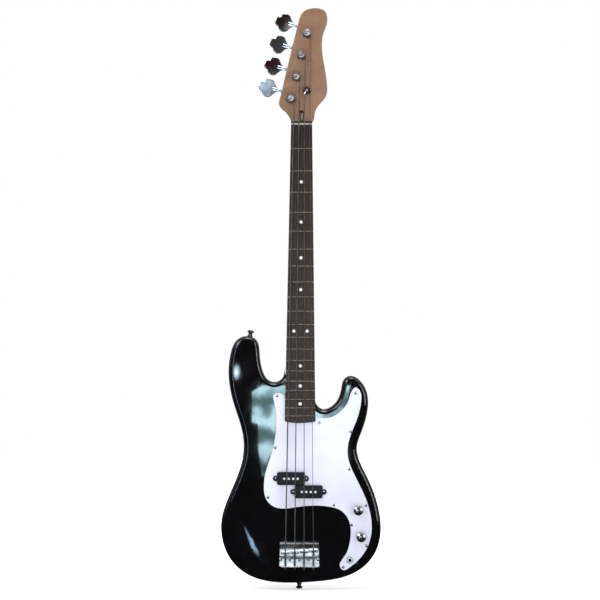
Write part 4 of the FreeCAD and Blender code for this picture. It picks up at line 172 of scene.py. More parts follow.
# Arcs in routes: degrees for each step, and the fewest steps
ARC_DEGREES = 5
ARC_LEAST = 4

# Depths in front of zero between which the pickguard's edge shows its dark ply, in metres
PLY_BACK = 0.02318
PLY_FRONT = 0.02392
# Depths at which the plates of a pickup's bobbin meet its coil, in metres
PLATE_FRONT = -0.02615
PLATE_BACK = -0.01503

# Shading of the solids: the angle from which an edge stays sharp, the angle up to which two faces count as one flat
# face, and the distance up to which vertices are joined, in metres
SHARP_DEGREES = 28
FLAT_DEGREES = 0.1
WELD = 1e-6

# Floor disc, the gap that it leaves under the instrument, and the level of the cards that lie above it
FLOOR_RADIUS = 5.0
FLOOR_GAP = 0.0005
FLOOR_RING = 96
FLOOR_RINGS = 4
CARD_LEVEL = CAD_BOX[0].z + 0.004
# Depths of the upright cards: before the instrument, nearer to it for the pole pieces, and behind it
CARD_DEPTH = -3.02
POLE_CARD_DEPTH = -2.6
BACK_CARD_DEPTH = 4.0

# Lamps: place, width, height, power, colour, and whether gloss mirrors them
LAMPS = {
    "key": ((-2.3, -2.6, 2.3), 1.6, 1.6, 46.0, (0.94, 0.97, 1.0), True),
    "fill": ((2.6, -2.4, 1.1), 1.4, 2.0, 29.0, (0.97, 0.98, 1.0), True),
    "top": ((0.2, -0.6, 3.0), 1.4, 1.2, 19.0, (1.0, 1.0, 1.0), True),
    "back_left": ((-2.2, 2.6, 1.8), 1.2, 1.8, 40.0, (0.96, 0.98, 1.0), False),
    "back_right": ((2.2, 2.6, 1.2), 1.2, 1.8, 32.0, (1.0, 0.99, 0.97), False),
}
LAMP_TARGET = (0.0, 0.0, 0.55)

# Room that gloss mirrors: grey from below to above, its tint, and the tint of its front with the directions in y
# between which that fades
ROOM_TONES = ((0.0, 0.06), (0.45, 0.10), (0.60, 0.26), (1.0, 0.62))
ROOM_TINT = (0.95, 0.98, 1.0)
ROOM_FRONT = (0.16, 0.072, 0.064, 1.0)
ROOM_FRONT_FROM = -0.96
ROOM_FRONT_TO = -0.35
WHITE = (1.0, 1.0, 1.0, 1.0)
BLACK = (0.0, 0.0, 0.0, 1.0)

# Camera: the point that it looks at, its distance from there, the width of the view there, and its tilt in degrees
CAMERA_AIM = (-0.0014, -0.0225, 0.5758)
CAMERA_DISTANCE = 6.0
CAMERA_WIDTH = 1.22016
CAMERA_TILT = 0.30
CAMERA_SENSOR = 36.0
CAMERA_END = 100.0


def srgb(red, green, blue):
    """Linear colour of a display colour given from 0 to 255."""
    def linear(value):
        share = value / 255
        return share / 12.92 if share <= 0.04045 else ((share + 0.055) / 1.055) ** 2.4
    return linear(red), linear(green), linear(blue), 1.0


def set_stops(node, stops):
    """Places and colours of a colour ramp."""
    elements = node.color_ramp.elements
    while len(elements) < len(stops):
        elements.new(0.5)
    for element, (place, colour) in zip(elements, stops):
        element.position = place
        element.color = colour


class Look:
    """A node material with short calls for its nodes."""

    def __init__(self, name, **sockets):
        self.material = bpy.data.materials.new(name)
        self.material.use_nodes = True
        self.tree = self.material.node_tree
        self.shader = next(n for n in self.tree.nodes if n.type == "BSDF_PRINCIPLED")
        for socket, value in sockets.items():
            self.set(socket.replace("_", " "), value)
        self.coords = self.node("ShaderNodeTexCoord").outputs["Object"]

    def feed(self, socket, value):
        """Link a socket to the output of a node, or set it to a constant."""
        if isinstance(value, bpy.types.NodeSocket):
            self.tree.links.new(value, socket)
        else:
            socket.default_value = value

    def set(self, socket, value):
        self.feed(self.shader.inputs[socket], value)

    def node(self, kind, links=None, **settings):
        made = self.tree.nodes.new(kind)
        for name, value in settings.items():
            setattr(made, name, value)
        for name, value in (links or {}).items():
            self.feed(made.inputs[name], value)
        return made

    def stretched(self, x, y, z):
        return self.node("ShaderNodeMapping", {"Vector": self.coords, "Scale": (x, y, z)}).outputs["Vector"]

    def noise(self, scale, detail=3.0, vector=None, distortion=0.0):
        links = {"Vector": vector or self.coords, "Scale": scale, "Detail": detail, "Distortion": distortion}
        return self.node("ShaderNodeTexNoise", links).outputs["Fac"]

    def cells(self, scale):
        return self.node("ShaderNodeTexVoronoi", {"Vector": self.coords, "Scale": scale}).outputs["Distance"]

    def ramp(self, share, *stops):
        made = self.node("ShaderNodeValToRGB", {"Fac": share})
        set_stops(made, stops)
        return made.outputs["Color"]

    def span(self, share, low, high, from_low=0.3, from_high=0.7):
        links = {"Value": share, "From Min": from_low, "From Max": from_high, "To Min": low, "To Max": high}
        return self.node("ShaderNodeMapRange", links).outputs["Result"]

    def calc(self, operation, first, second=0.0):
        return self.node("ShaderNodeMath", {0: first, 1: second}, operation=operation).outputs["Value"]

    def blend(self, share, first, second):
        made = self.node("ShaderNodeMix", data_type="RGBA")
        sockets = [s for s in made.inputs if s.type == "RGBA"]
        for socket, value in ((made.inputs["Factor"], share), (sockets[0], first), (sockets[1], second)):
            self.feed(socket, value)
        return next(s for s in made.outputs if s.type == "RGBA")

    def axis(self, letter):
        return self.node("ShaderNodeSeparateXYZ", {"Vector": self.coords}).outputs[letter]

    def bump(self, height, strength, depth):
        links = {"Height": height, "Strength": strength, "Distance": depth}
        return self.node("ShaderNodeBump", links).outputs["Normal"]

    def away(self, vector):
        """Distance from the origin of a vector."""
        return self.node("ShaderNodeVectorMath", {0: vector}, operation="LENGTH").outputs["Value"]

    def waves(self, length, rate):
        """Sine of a length times a rate."""
        return self.calc("SINE", self.calc("MULTIPLY", length, rate))

    def along(self):
        """Length along a tube, which its mesh carries."""
        return self.node("ShaderNodeAttribute", attribute_name="along").outputs["Fac"]


def body_paint():
    """Black lacquer: nearly a mirror, with faint haze and swirls."""
    look = Look("body_paint", IOR=1.5, Coat_Weight=0.6, Coat_Roughness=0.01)
    haze = look.noise(28.0, 4.0)
    look.set("Base Color", look.ramp(haze, (0.3, (0.0016, 0.0016, 0.0019, 1)), (0.75, (0.0034, 0.0035, 0.0042, 1))))
    swirl = look.noise(160.0, 6.0, look.stretched(1.0, 1.0, 0.35))
    look.set("Roughness", look.span(swirl, 0.015, 0.04))
    look.set("Normal", look.bump(look.noise(240.0, 1.0), 0.002, 0.0003))
    return look.material


def guard_plastic():
    """White plastic with a dark ply that shows at its edge."""
    look = Look("guard_plastic", IOR=1.49, Specular_IOR_Level=0.3)
    height = look.calc("MULTIPLY", look.axis("Y"), -1.0)
    cloud = look.noise(9.0, 2.0)
    white = look.ramp(cloud, (0.32, srgb(213, 212, 229)), (0.5, srgb(221, 223, 240)), (0.68, srgb(228, 231, 246)))
    above = look.calc("GREATER_THAN", height, PLY_BACK)
    below = look.calc("LESS_THAN", height, PLY_FRONT)
    ply = look.calc("MULTIPLY", above, below)
    look.set("Base Color", look.blend(ply, white, srgb(20, 20, 23)))
    look.set("Roughness", look.span(look.noise(120.0, 5.0), 0.16, 0.26))
    look.set("Normal", look.bump(look.noise(700.0, 2.0), 0.03, 0.0002))
    return look.material


def neck_wood():
    """Tan maple: faint rings across, fine fibres along the neck and a soft flame."""
    look = Look("neck_wood", IOR=1.5, Coat_Weight=0.35, Coat_Roughness=0.12)
    drift = look.noise(5.0, 3.0, look.stretched(1.0, 1.0, 0.25))
    bend = look.calc("MULTIPLY", drift, 3.2)
    rings = look.calc("ADD", look.calc("MULTIPLY", look.axis("X"), 130.0), bend)
    band = look.span(look.waves(rings, 2 * math.pi), 0.0, 1.0, -1.0, 1.0)
    fibre = look.noise(900.0, 4.0, look.stretched(1.0, 1.0, 0.03))
    flame = look.noise(60.0, 2.0, look.stretched(0.35, 0.35, 1.0))
    tone = look.calc("ADD", look.calc("MULTIPLY", band, 0.04), look.calc("MULTIPLY", fibre, 0.50))
    tone = look.calc("ADD", tone, look.calc("MULTIPLY", flame, 0.46))
    look.set("Base Color", look.ramp(tone, (0.25, srgb(118, 88, 68)), (0.5, srgb(138, 106, 83)),
                                     (0.8, srgb(154, 121, 96))))
    look.set("Roughness", look.span(fibre, 0.28, 0.40))
    look.set("Normal", look.bump(fibre, 0.05, 0.0002))
    return look.material


def board_wood():
    """Dark board: streaks and open pores along it, and darker towards the nut."""
    look = Look("board_wood", IOR=1.48, Specular_IOR_Level=0.25)
    drift = look.noise(7.0, 3.0, look.stretched(1.0, 1.0, 0.2))
    streak = look.noise(260.0, 4.0, look.stretched(1.0, 1.0, 0.03), 0.4)
    pores = look.noise(1500.0, 2.0, look.stretched(1.0, 1.0, 0.05))
    tone = look.calc("ADD", look.calc("MULTIPLY", streak, 0.6), look.calc("MULTIPLY", drift, 0.4))
    wood = look.ramp(tone, (0.3, srgb(46, 41, 38)), (0.52, srgb(60, 54, 50)), (0.75, srgb(76, 68, 62)))
    pit = look.calc("LESS_THAN", pores, 0.36)
    high = look.span(look.axis("Z"), 0.0, 0.5, 0.55, 0.95)
    look.set("Base Color", look.blend(look.calc("MAXIMUM", pit, high), wood, srgb(26, 21, 19)))
    look.set("Roughness", look.span(streak, 0.42, 0.60))
    look.set("Normal", look.bump(pores, 0.22, 0.0002))
    return look.material


def metal(name, colour, dark, rough_low, rough_high, scale=45.0, grain=None, metallic=1.0):
    """Plated metal: tone and roughness vary with smudges, and a fine grain where it is brushed or turned."""
    look = Look(name, Metallic=metallic)
    smudge = look.noise(scale, 5.0)
    look.set("Base Color", look.ramp(smudge, (0.25, dark), (0.6, colour)))
    look.set("Roughness", look.span(smudge, rough_high, rough_low))
    if grain:
        lines = look.noise(1400.0, 3.0, look.stretched(*grain))
        look.set("Normal", look.bump(lines, 0.12, 0.0001))
    else:
        look.set("Normal", look.bump(look.noise(90.0, 2.0), 0.015, 0.0003))
    return look.material


def nut_bone():
    """Aged bone with grain across the neck."""
    look = Look("nut_bone", IOR=1.54, Subsurface_Weight=0.15, Subsurface_Scale=0.001)
    grain = look.noise(500.0, 4.0, look.stretched(0.15, 1.0, 1.0))
    look.set("Base Color", look.ramp(grain, (0.3, srgb(150, 140, 125)), (0.7, srgb(174, 165, 150))))
    look.set("Roughness", look.span(grain, 0.32, 0.46))
    look.set("Normal", look.bump(grain, 0.08, 0.0001))
    return look.material


def marker_white():
    """Pearly white of the position dots."""
    look = Look("marker_white", IOR=1.53, Coat_Weight=0.3, Coat_Roughness=0.08)
    pearl = look.noise(420.0, 3.0, None, 0.8)
    look.set("Base Color", look.ramp(pearl, (0.3, srgb(226, 228, 232)), (0.7, srgb(247, 248, 250))))
    look.set("Roughness", look.span(pearl, 0.18, 0.30))
    return look.material


def pickup_black():
    """Black plastic with a fine grit."""
    look = Look("pickup_black", IOR=1.5, Specular_IOR_Level=0.35)
    grit = look.noise(2600.0, 3.0)
    worn = look.noise(70.0, 4.0)
    look.set("Base Color", look.ramp(worn, (0.3, srgb(16, 18, 23)), (0.75, srgb(25, 28, 35))))
    look.set("Roughness", look.span(worn, 0.34, 0.48))
    look.set("Normal", look.bump(grit, 0.10, 0.0001))
    return look.material


def coil_copper():
    """Lacquered copper wire between the black plates of its bobbin."""
    look = Look("coil_copper", IOR=1.5, Coat_Weight=0.4, Coat_Roughness=0.2)
    depth = look.axis("Y")
    turns = look.waves(depth, 16000.0)
    plates = look.calc("MAXIMUM", look.calc("LESS_THAN", depth, PLATE_FRONT),
                       look.calc("GREATER_THAN", depth, PLATE_BACK))
    shade = look.noise(300.0, 3.0)
    wound = look.ramp(shade, (0.3, srgb(112, 54, 26)), (0.7, srgb(158, 84, 44)))
    look.set("Base Color", look.blend(plates, wound, srgb(22, 22, 24)))
    look.set("Roughness", look.span(shade, 0.3, 0.5))
    look.set("Normal", look.bump(turns, 0.35, 0.0001))
    return look.material


def foam_pad():
    """Grey foam with open cells."""
    look = Look("foam", Sheen_Weight=0.2)
    pores = look.cells(1300.0)
    look.set("Base Color", look.ramp(pores, (0.1, srgb(30, 30, 32)), (0.6, srgb(74, 74, 78))))
    look.set("Roughness", look.span(pores, 0.85, 0.98, 0.0, 0.6))
    look.set("Normal", look.bump(pores, 0.6, 0.0006))
    return look.material


def string_steel():
    """Nickel wrap painted dark, as painted shade for the dark room that it mirrors, with uneven tone; its ridges
    follow the length of the string.
    """
    look = Look("string_steel", Metallic=1.0)
    ridge = look.waves(look.along(), 2 * math.pi / WRAP_PITCH)
    uneven_tone = look.noise(40.0, 4.0)
    # Painted shade: the wrap's colour is dark, standing in for the dark room that it mirrors
    look.set("Base Color", look.ramp(uneven_tone, (0.3, (0.15, 0.125, 0.115, 1)), (0.7, (0.26, 0.23, 0.215, 1))))
    look.set("Roughness", look.span(uneven_tone, 0.30, 0.42))
    look.set("Normal", look.bump(ridge, 0.5, 0.0001))
    return look.material


def capacitor_film():
    """Brown dipped film."""
    look = Look("capacitor_film", IOR=1.5, Coat_Weight=0.5, Coat_Roughness=0.1)
    speck = look.noise(600.0, 3.0)
    look.set("Base Color", look.ramp(speck, (0.3, srgb(112, 58, 26)), (0.7, srgb(150, 84, 38))))
    look.set("Roughness", look.span(speck, 0.25, 0.4))
    return look.material


def wire_cloth():
    """Waxed cloth, braided round a lead."""
    look = Look("wire_cloth", Sheen_Weight=0.3)
    braid = look.waves(look.along(), 9000.0)
    fuzz = look.noise(1800.0, 3.0)
    look.set("Base Color", look.ramp(fuzz, (0.3, srgb(172, 160, 128)), (0.7, srgb(216, 206, 178))))
    look.set("Roughness", look.span(fuzz, 0.75, 0.95))
    look.set("Normal", look.bump(braid, 0.4, 0.0002))
    return look.material


FINISHES = {
    "body_paint": body_paint(),
    "guard_plastic": guard_plastic(),
    "neck_wood": neck_wood(),
    "board_wood": board_wood(),
    "fret_metal": metal("fret_metal", (0.36, 0.28, 0.23, 1), (0.24, 0.18, 0.14, 1), 0.26, 0.40, 220.0,
                        (0.1, 1.0, 1.0)),
    "nut_bone": nut_bone(),
    "marker_white": marker_white(),
    "chrome": metal("chrome", (0.76, 0.78, 0.81, 1), (0.66, 0.68, 0.71, 1), 0.05, 0.13),
    "steel": metal("steel", (0.52, 0.52, 0.53, 1), (0.38, 0.38, 0.39, 1), 0.28, 0.42, 60.0, (1.0, 1.0, 0.1)),
    "screw_steel": metal("screw_steel", (0.62, 0.61, 0.60, 1), (0.44, 0.42, 0.40, 1), 0.16, 0.32, 160.0),
    "pickup_black": pickup_black(),
    "coil_copper": coil_copper(),
    "pole_steel": metal("pole_steel", (0.90, 0.91, 0.92, 1), (0.74, 0.75, 0.77, 1), 0.26, 0.36, 300.0, None, 0.35),
    "foam": foam_pad(),
    "string_steel": string_steel(),
    "brass": metal("brass", (0.70, 0.50, 0.20, 1), (0.52, 0.36, 0.14, 1), 0.24, 0.38, 120.0),
    "capacitor_film": capacitor_film(),
    "wire_cloth": wire_cloth(),
    "satin_chrome": metal("satin_chrome", (0.58, 0.57, 0.58, 1), (0.46, 0.45, 0.46, 1), 0.18, 0.28, 60.0),
    "bright_chrome": metal("bright_chrome", (0.76, 0.78, 0.81, 1), (0.66, 0.68, 0.71, 1), 0.02, 0.05),
    "dull_brass": metal("dull_brass", (0.44, 0.32, 0.23, 1), (0.32, 0.22, 0.15, 1), 0.45, 0.60, 80.0),
    # Nickel painted dark: painted shade on the strap buttons and their screws; the string balls take it so that they
    # don't show
    "nickel_painted_dark": metal("nickel_painted_dark", (0.16, 0.14, 0.13, 1), (0.09, 0.075, 0.07, 1), 0.22, 0.36, 80.0),
}

# Solids whose plating differs from that of the rest of their slot; the strap buttons and their screws take nickel
# painted dark, a painted dark reflection
PLATING_AND_PAINTED_SHADE = {"volume_knob": "satin_chrome", "tone_knob": "satin_chrome", "strap_buttons": "nickel_painted_dark",
           "strap_button_screws": "nickel_painted_dark", "truss_rod_nut": "dull_brass", "bridge_plate": "bright_chrome",
           "tuner_bushings": "bright_chrome"}
for letter in STRINGS:
    PLATING_AND_PAINTED_SHADE["tuner_key_" + letter] = PLATING_AND_PAINTED_SHADE["tuner_post_" + letter] = "bright_chrome"


def smooth_group():
    """Geometry nodes that join a solid's faces, shade them smooth between its sharp edges, and let each vertex take
    the normal of the largest flat face that it touches."""
    group = bpy.data.node_groups.new("joined_shading", "GeometryNodeTree")
    for direction in ("INPUT", "OUTPUT"):
        group.interface.new_socket("Geometry", in_out=direction, socket_type="NodeSocketGeometry")

    def new(kind, **settings):
        node = group.nodes.new(kind)
        for key, value in settings.items():
            setattr(node, key, value)
        return node

    def wider(degrees):
        compare = new("FunctionNodeCompare", operation="GREATER_THAN")
        compare.inputs["B"].default_value = math.radians(degrees)
        link(new("GeometryNodeInputMeshEdgeAngle").outputs["Unsigned Angle"], compare.inputs["A"])
        return compare.outputs["Result"]

    link = group.links.new
    start, end = new("NodeGroupInput"), new("NodeGroupOutput")
    weld = new("GeometryNodeMergeByDistance")
    weld.inputs["Distance"].default_value = WELD
    split = new("GeometryNodeSplitEdges")
    soft = new("GeometryNodeSetShadeSmooth")
    flats = new("GeometryNodeEdgesToFaceGroups")
    extent = new("GeometryNodeAccumulateField", domain="FACE")
    weight = new("ShaderNodeMath", operation="POWER")
    weight.inputs[1].default_value = 2.0
    pull = new("ShaderNodeVectorMath", operation="SCALE")
    of_face = new("GeometryNodeFieldOnDomain", domain="FACE", data_type="FLOAT_VECTOR")
    unit = new("ShaderNodeVectorMath", operation="NORMALIZE")
    bend = new("GeometryNodeSetMeshNormal", mode="FREE", domain="POINT")
    link(start.outputs[0], weld.inputs["Geometry"])
    link(weld.outputs["Geometry"], split.inputs["Mesh"])
    link(wider(SHARP_DEGREES), split.inputs["Selection"])
    link(split.outputs["Mesh"], soft.inputs["Geometry"])
    link(wider(FLAT_DEGREES), flats.inputs["Boundary Edges"])
    link(new("GeometryNodeInputMeshFaceArea").outputs["Area"], extent.inputs["Value"])
    link(flats.outputs["Face Group ID"], extent.inputs["Group ID"])
    link(extent.outputs["Total"], weight.inputs[0])
    link(new("GeometryNodeInputNormal").outputs["True Normal"], pull.inputs[0])
    link(weight.outputs["Value"], pull.inputs["Scale"])
    link(pull.outputs["Vector"], of_face.inputs["Value"])
    link(of_face.outputs["Value"], unit.inputs[0])
    link(soft.outputs["Geometry"], bend.inputs["Mesh"])
    link(unit.outputs["Vector"], bend.inputs["Custom Normal"])
    link(bend.outputs["Mesh"], end.inputs[0])
    return group


def finish_nodes():
    """Finish and shading of every solid."""
    group = smooth_group()
    for part in RECORD["subparts"]:
        node = NODES[part["node"]]
        node.data.materials.clear()
        node.data.materials.append(FINISHES[PLATING_AND_PAINTED_SHADE.get(part["node"], part["material_slot"])])
        modifier = node.modifiers.new("joined_shading", "NODES")
        modifier.node_group = group


def rounded_route(corners, radii, spacing):
    """Points along straight runs between corners, with an arc of the given radius at each inner corner, and the
    place in that list of the middle of each arc."""
    corners = [np.array(corner, float) for corner in corners]
    route = [corners[0]]
    marks = []
    for before, corner, after, radius in zip(corners, corners[1:], corners[2:], radii):
        into = (corner - before) / np.linalg.norm(corner - before)
        out = (after - corner) / np.linalg.norm(after - corner)
        turn = math.acos(max(-1.0, min(1.0, float(into @ out))))
        cut = radius * math.tan(turn / 2)
        first = corner - into * cut
        steps = max(ARC_LEAST, int(math.degrees(turn) / ARC_DEGREES) // 2 * 2)
        side = out - into * math.cos(turn)
        side = side / np.linalg.norm(side)
        add_run(route, first, spacing)
        for k in range(1, steps + 1):
            angle = turn * k / steps
            route.append(first + into * (radius * math.sin(angle)) + side * (radius * (1 - math.cos(angle))))
            if k == steps // 2:
                marks.append(len(route) - 1)
    add_run(route, corners[-1], spacing)
    return route, marks


def add_run(route, end, spacing):
    """Go on with a route straight to its next end."""
    start = route[-1]
    count = max(1, int(np.linalg.norm(end - start) / spacing))
    route.extend(start + (end - start) * k / count for k in range(1, count + 1))


def frames_along(points):
    """Two directions across a line at each of its points, turned as little as possible along it."""
    points = np.array(points)
    tangents = np.gradient(points, axis=0)
    tangents /= np.linalg.norm(tangents, axis=1)[:, None]
    across = np.cross(tangents[0], (1.0, 0.0, 0.0))
    if np.linalg.norm(across) < 0.1:
        across = np.cross(tangents[0], (0.0, 0.0, 1.0))
    sides = []
    for tangent in tangents:
        across = across - tangent * (across @ tangent)
        across = across / np.linalg.norm(across)
        sides.append((across, np.cross(tangent, across)))
    return points, sides


def tube(name, points, sides, radii, ring, finish):
    """Closed round tube through points in millimetres, with the length along it kept for its finish."""
    points = np.array(points)
    length = np.concatenate([[0.0], np.cumsum(np.linalg.norm(np.diff(points, axis=0), axis=1))]) * MM
    angles = np.linspace(0, 2 * math.pi, ring, endpoint=False)
    vertices = []
    for point, (first, second), radius in zip(points, sides, radii):
        for angle in angles:
            vertices.append((point + (first * math.cos(angle) + second * math.sin(angle)) * radius) * MM)
    faces = []
    for k in range(len(points) - 1):
        for j in range(ring):
            near, far = k * ring + j, k * ring + (j + 1) % ring
            faces.append((near, far, far + ring, near + ring))
    faces.append(tuple(reversed(range(ring))))
    faces.append(tuple(range((len(points) - 1) * ring, len(points) * ring)))
    piece = mesh_piece(name, vertices, faces, finish)
    attribute = piece.data.attributes.new("along", "FLOAT", "POINT")
    attribute.data.foreach_set("value", np.repeat(length, ring).astype(np.float32))
    return piece


def mesh_piece(name, vertices, faces, finish):
    """Smooth piece of the scene with its finish."""
    mesh = bpy.data.meshes.new(name)
    mesh.from_pydata([tuple(v) for v in vertices], [], faces)
    mesh.shade_smooth()
    mesh.validate()
    piece = bpy.data.objects.new(name, mesh)
    SCENE.collection.objects.link(piece)
    mesh.materials.append(finish)
    return piece


def hermite(share, start, start_slope, end, end_slope):
    """Smooth value between two ends with given slopes."""
    s = share
    return ((2 * s ** 3 - 3 * s ** 2 + 1) * start + (s ** 3 - 2 * s ** 2 + s) * start_slope
            + (3 * s ** 2 - 2 * s ** 3) * end + (s ** 3 - s ** 2) * end_slope)


def post_turns(diameter, turns, post, landing, run_direction):
    """Points of a string's turns round its post and of its end in the post's slot."""
    circle = POST_RADIUS + REST_GAP + diameter / 2
    step = diameter + STEP_GAP
    bend = diameter * TAIL_BEND_SHARE
    inner = math.sqrt(circle ** 2 - 2 * circle * bend)
    lead = math.atan2(bend, inner)
    first = math.atan2(landing[2] - post[2], landing[0] - post[0])
    total = 2 * math.pi * turns + math.pi
    quarter = math.pi / 2
    level = run_direction[1] / math.hypot(run_direction[0], run_direction[2]) * circle
    climb = -step / (2 * math.pi)
    count = round(math.degrees(total) / TURN_DEGREES)
    route = []
    for k in range(1, count + 1):
        swept = total * k / count
        height = landing[1] + climb * swept
        if swept < quarter:
            high = landing[1] + climb * quarter
            height = hermite(swept / quarter, landing[1], level * quarter, high, climb * quarter)
        if total - swept < quarter:
            low = landing[1] + climb * (total - quarter)
            height = hermite(1 - (total - swept) / quarter, low, climb * quarter, landing[1] + climb * total, 0.0)
        angle = first + swept
        route.append(np.array((post[0] + circle * math.cos(angle), height, post[2] + circle * math.sin(angle))))
    end_angle = first + total
    top = landing[1] + climb * total
    centre_x = post[0] + (circle - bend) * math.cos(end_angle)
    centre_z = post[2] + (circle - bend) * math.sin(end_angle)
    for k in range(1, TAIL_STEPS + 1):
        angle = end_angle + (quarter + lead) * k / TAIL_STEPS
        route.append(np.array((centre_x + bend * math.cos(angle), top, centre_z + bend * math.sin(angle))))
    slot_angle = end_angle + lead
    reach = np.array((math.cos(slot_angle), 0.0, math.sin(slot_angle)))
    route.append(np.array((post[0], top, post[2])))
    route.append(np.array((post[0], top, post[2])) - reach * diameter)
    return route


def turned_piece(name, base, direction, profile, ring, finish):
    """Solid of revolution along a direction, from pairs of distance along it and radius."""
    direction = np.array(direction, float)
    points = [np.array(base, float) + direction * along for along, _ in profile]
    across = np.cross(direction, (1.0, 0.0, 0.0))
    across /= np.linalg.norm(across)
    sides = [(across, np.cross(direction, across))] * len(points)
    return tube(name, points, sides, [radius for _, radius in profile], ring, finish)


def ball_profile(radius):
    """Distances along a ball and its radii there: rounded edges, a groove round its middle and a dimple."""
    edge = BALL_EDGE
    return [(0.0, BALL_RADIUS - edge), (edge * 0.3, BALL_RADIUS - edge * 0.3), (edge, BALL_RADIUS),
            (BALL_LENGTH * 0.3, BALL_RADIUS), (BALL_LENGTH * 0.38, BALL_RADIUS - BALL_GROOVE_SIDE),
            (BALL_LENGTH * 0.5, BALL_RADIUS - BALL_GROOVE), (BALL_LENGTH * 0.62, BALL_RADIUS - BALL_GROOVE_SIDE),
            (BALL_LENGTH * 0.7, BALL_RADIUS), (BALL_LENGTH - edge, BALL_RADIUS),
            (BALL_LENGTH - edge * 0.3, BALL_RADIUS - edge * 0.3), (BALL_LENGTH, BALL_RADIUS - edge),
            (BALL_LENGTH, radius * 0.9), (BALL_LENGTH - BALL_DIMPLE, radius * 0.5)]


def make_strings():
    """Each string in three pieces, from the ball to the saddle, to the post and round the post, and its ball."""
    finish = FINISHES["string_steel"]
    for name, (diameter, turns, post, corners) in STRINGS.items():
        radius = diameter / 2
        bends = [SADDLE_RADIUS + radius, NUT_BEND, NUT_BEND][:len(corners) - 2]
        route, marks = rounded_route(corners, bends, STRING_SPACING)
        at_saddle = marks[0]
        at_post = len(route) - 1
        direction = route[-1] - route[-2]
        route += post_turns(diameter, turns, post, route[-1], direction / np.linalg.norm(direction))
        points, sides = frames_along(route)

        def piece(label, low, high, radii=None):
            return tube("string_%s_%s" % (name, label), points[low:high + 1], sides[low:high + 1],
                        radii or [radius] * (high + 1 - low), STRING_RING, finish)

        tail = piece("tail", 0, at_saddle)
        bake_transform(tail)
        thinner = [radius] * (at_post + 1 - at_saddle) + [radius * OVERLAP_SHARE] * OVERLAP_POINTS
        run = piece("run", at_saddle, at_post + OVERLAP_POINTS, thinner)
        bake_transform(run)
        turns_piece = piece("turns", at_post, len(points) - 1)
        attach(turns_piece, "post_" + name)

        back = points[0] - points[1]
        back = back / np.linalg.norm(back)
        profile = ball_profile(radius)
        # The ball takes nickel painted dark, so that it doesn't show
        ball = turned_piece("string_%s_ball" % name, points[0], back, profile, BALL_RING, FINISHES["nickel_painted_dark"])
        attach(ball, ROOT)
        for made in (tail, run, turns_piece, ball):
            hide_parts("string_" + name)


def make_springs():
    """Coil springs with closed end turns, squeezed between the flange and the saddle."""
    for name, (seat, direction, first, last) in SPRINGS.items():
        along = np.array(direction)
        across = np.array((1.0, 0.0, 0.0))
        other = np.cross(along, across)
        seat = np.array(seat)
        count = SPRING_TURNS * SPRING_STEPS
        points = []
        for k in range(count + 1):
            share = k / count
            angle = 2 * math.pi * SPRING_TURNS * share
            eased = hermite(share, 0.0, SPRING_EASE, 1.0, SPRING_EASE)
            rise = first + (last - first) * eased
            points.append(seat + along * rise + (across * math.cos(angle) + other * math.sin(angle)) * SPRING_RADIUS)
        points, sides = frames_along(points)
        radii = [SPRING_WIRE / 2] * len(points)
        piece = tube("spring_" + name, points, sides, radii, SPRING_RING, FINISHES["steel"])
        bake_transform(piece)
        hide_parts("intonation_springs")


def make_pads():
    """Foam under the pickups: crowned pads whose sides draw in where they are pressed."""
    for body, (x, z) in PADS.items():
        rows, columns = PAD_ROWS, PAD_COLUMNS
        vertices, faces = [], []
        for row in range(rows + 1):
            share = row / rows
            y = PAD_BACK + (PAD_FRONT - PAD_BACK) * share
            rim = max(0.0, PAD_RIM - min(share, 1 - share)) / PAD_RIM
            swell = 1.0 - PAD_DRAW * (1 - math.sin(math.pi * share)) - PAD_RIM_DRAW * rim
            for column in range(columns):
                angle = 2 * math.pi * column / columns
                cx = math.copysign(abs(math.cos(angle)) ** PAD_POWER, math.cos(angle))
                cz = math.copysign(abs(math.sin(angle)) ** PAD_POWER, math.sin(angle))
                ripple = 1 + PAD_RIPPLE * math.sin(5 * angle + 3 * share)
                vertices.append(((x + PAD_HALF[0] * cx * swell * ripple) * MM, y * MM,
                                 (z + PAD_HALF[1] * cz * swell * ripple) * MM))
        for row in range(rows):
            for column in range(columns):
                near = row * columns + column
                far = row * columns + (column + 1) % columns
                faces.append((near, far, far + columns, near + columns))
        faces.append(tuple(reversed(range(columns))))
        faces.append(tuple(range(rows * columns, (rows + 1) * columns)))
        piece = mesh_piece("foam_pad_" + body, vertices, faces, FINISHES["foam"])
        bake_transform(piece)
        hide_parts("pickup_foam")


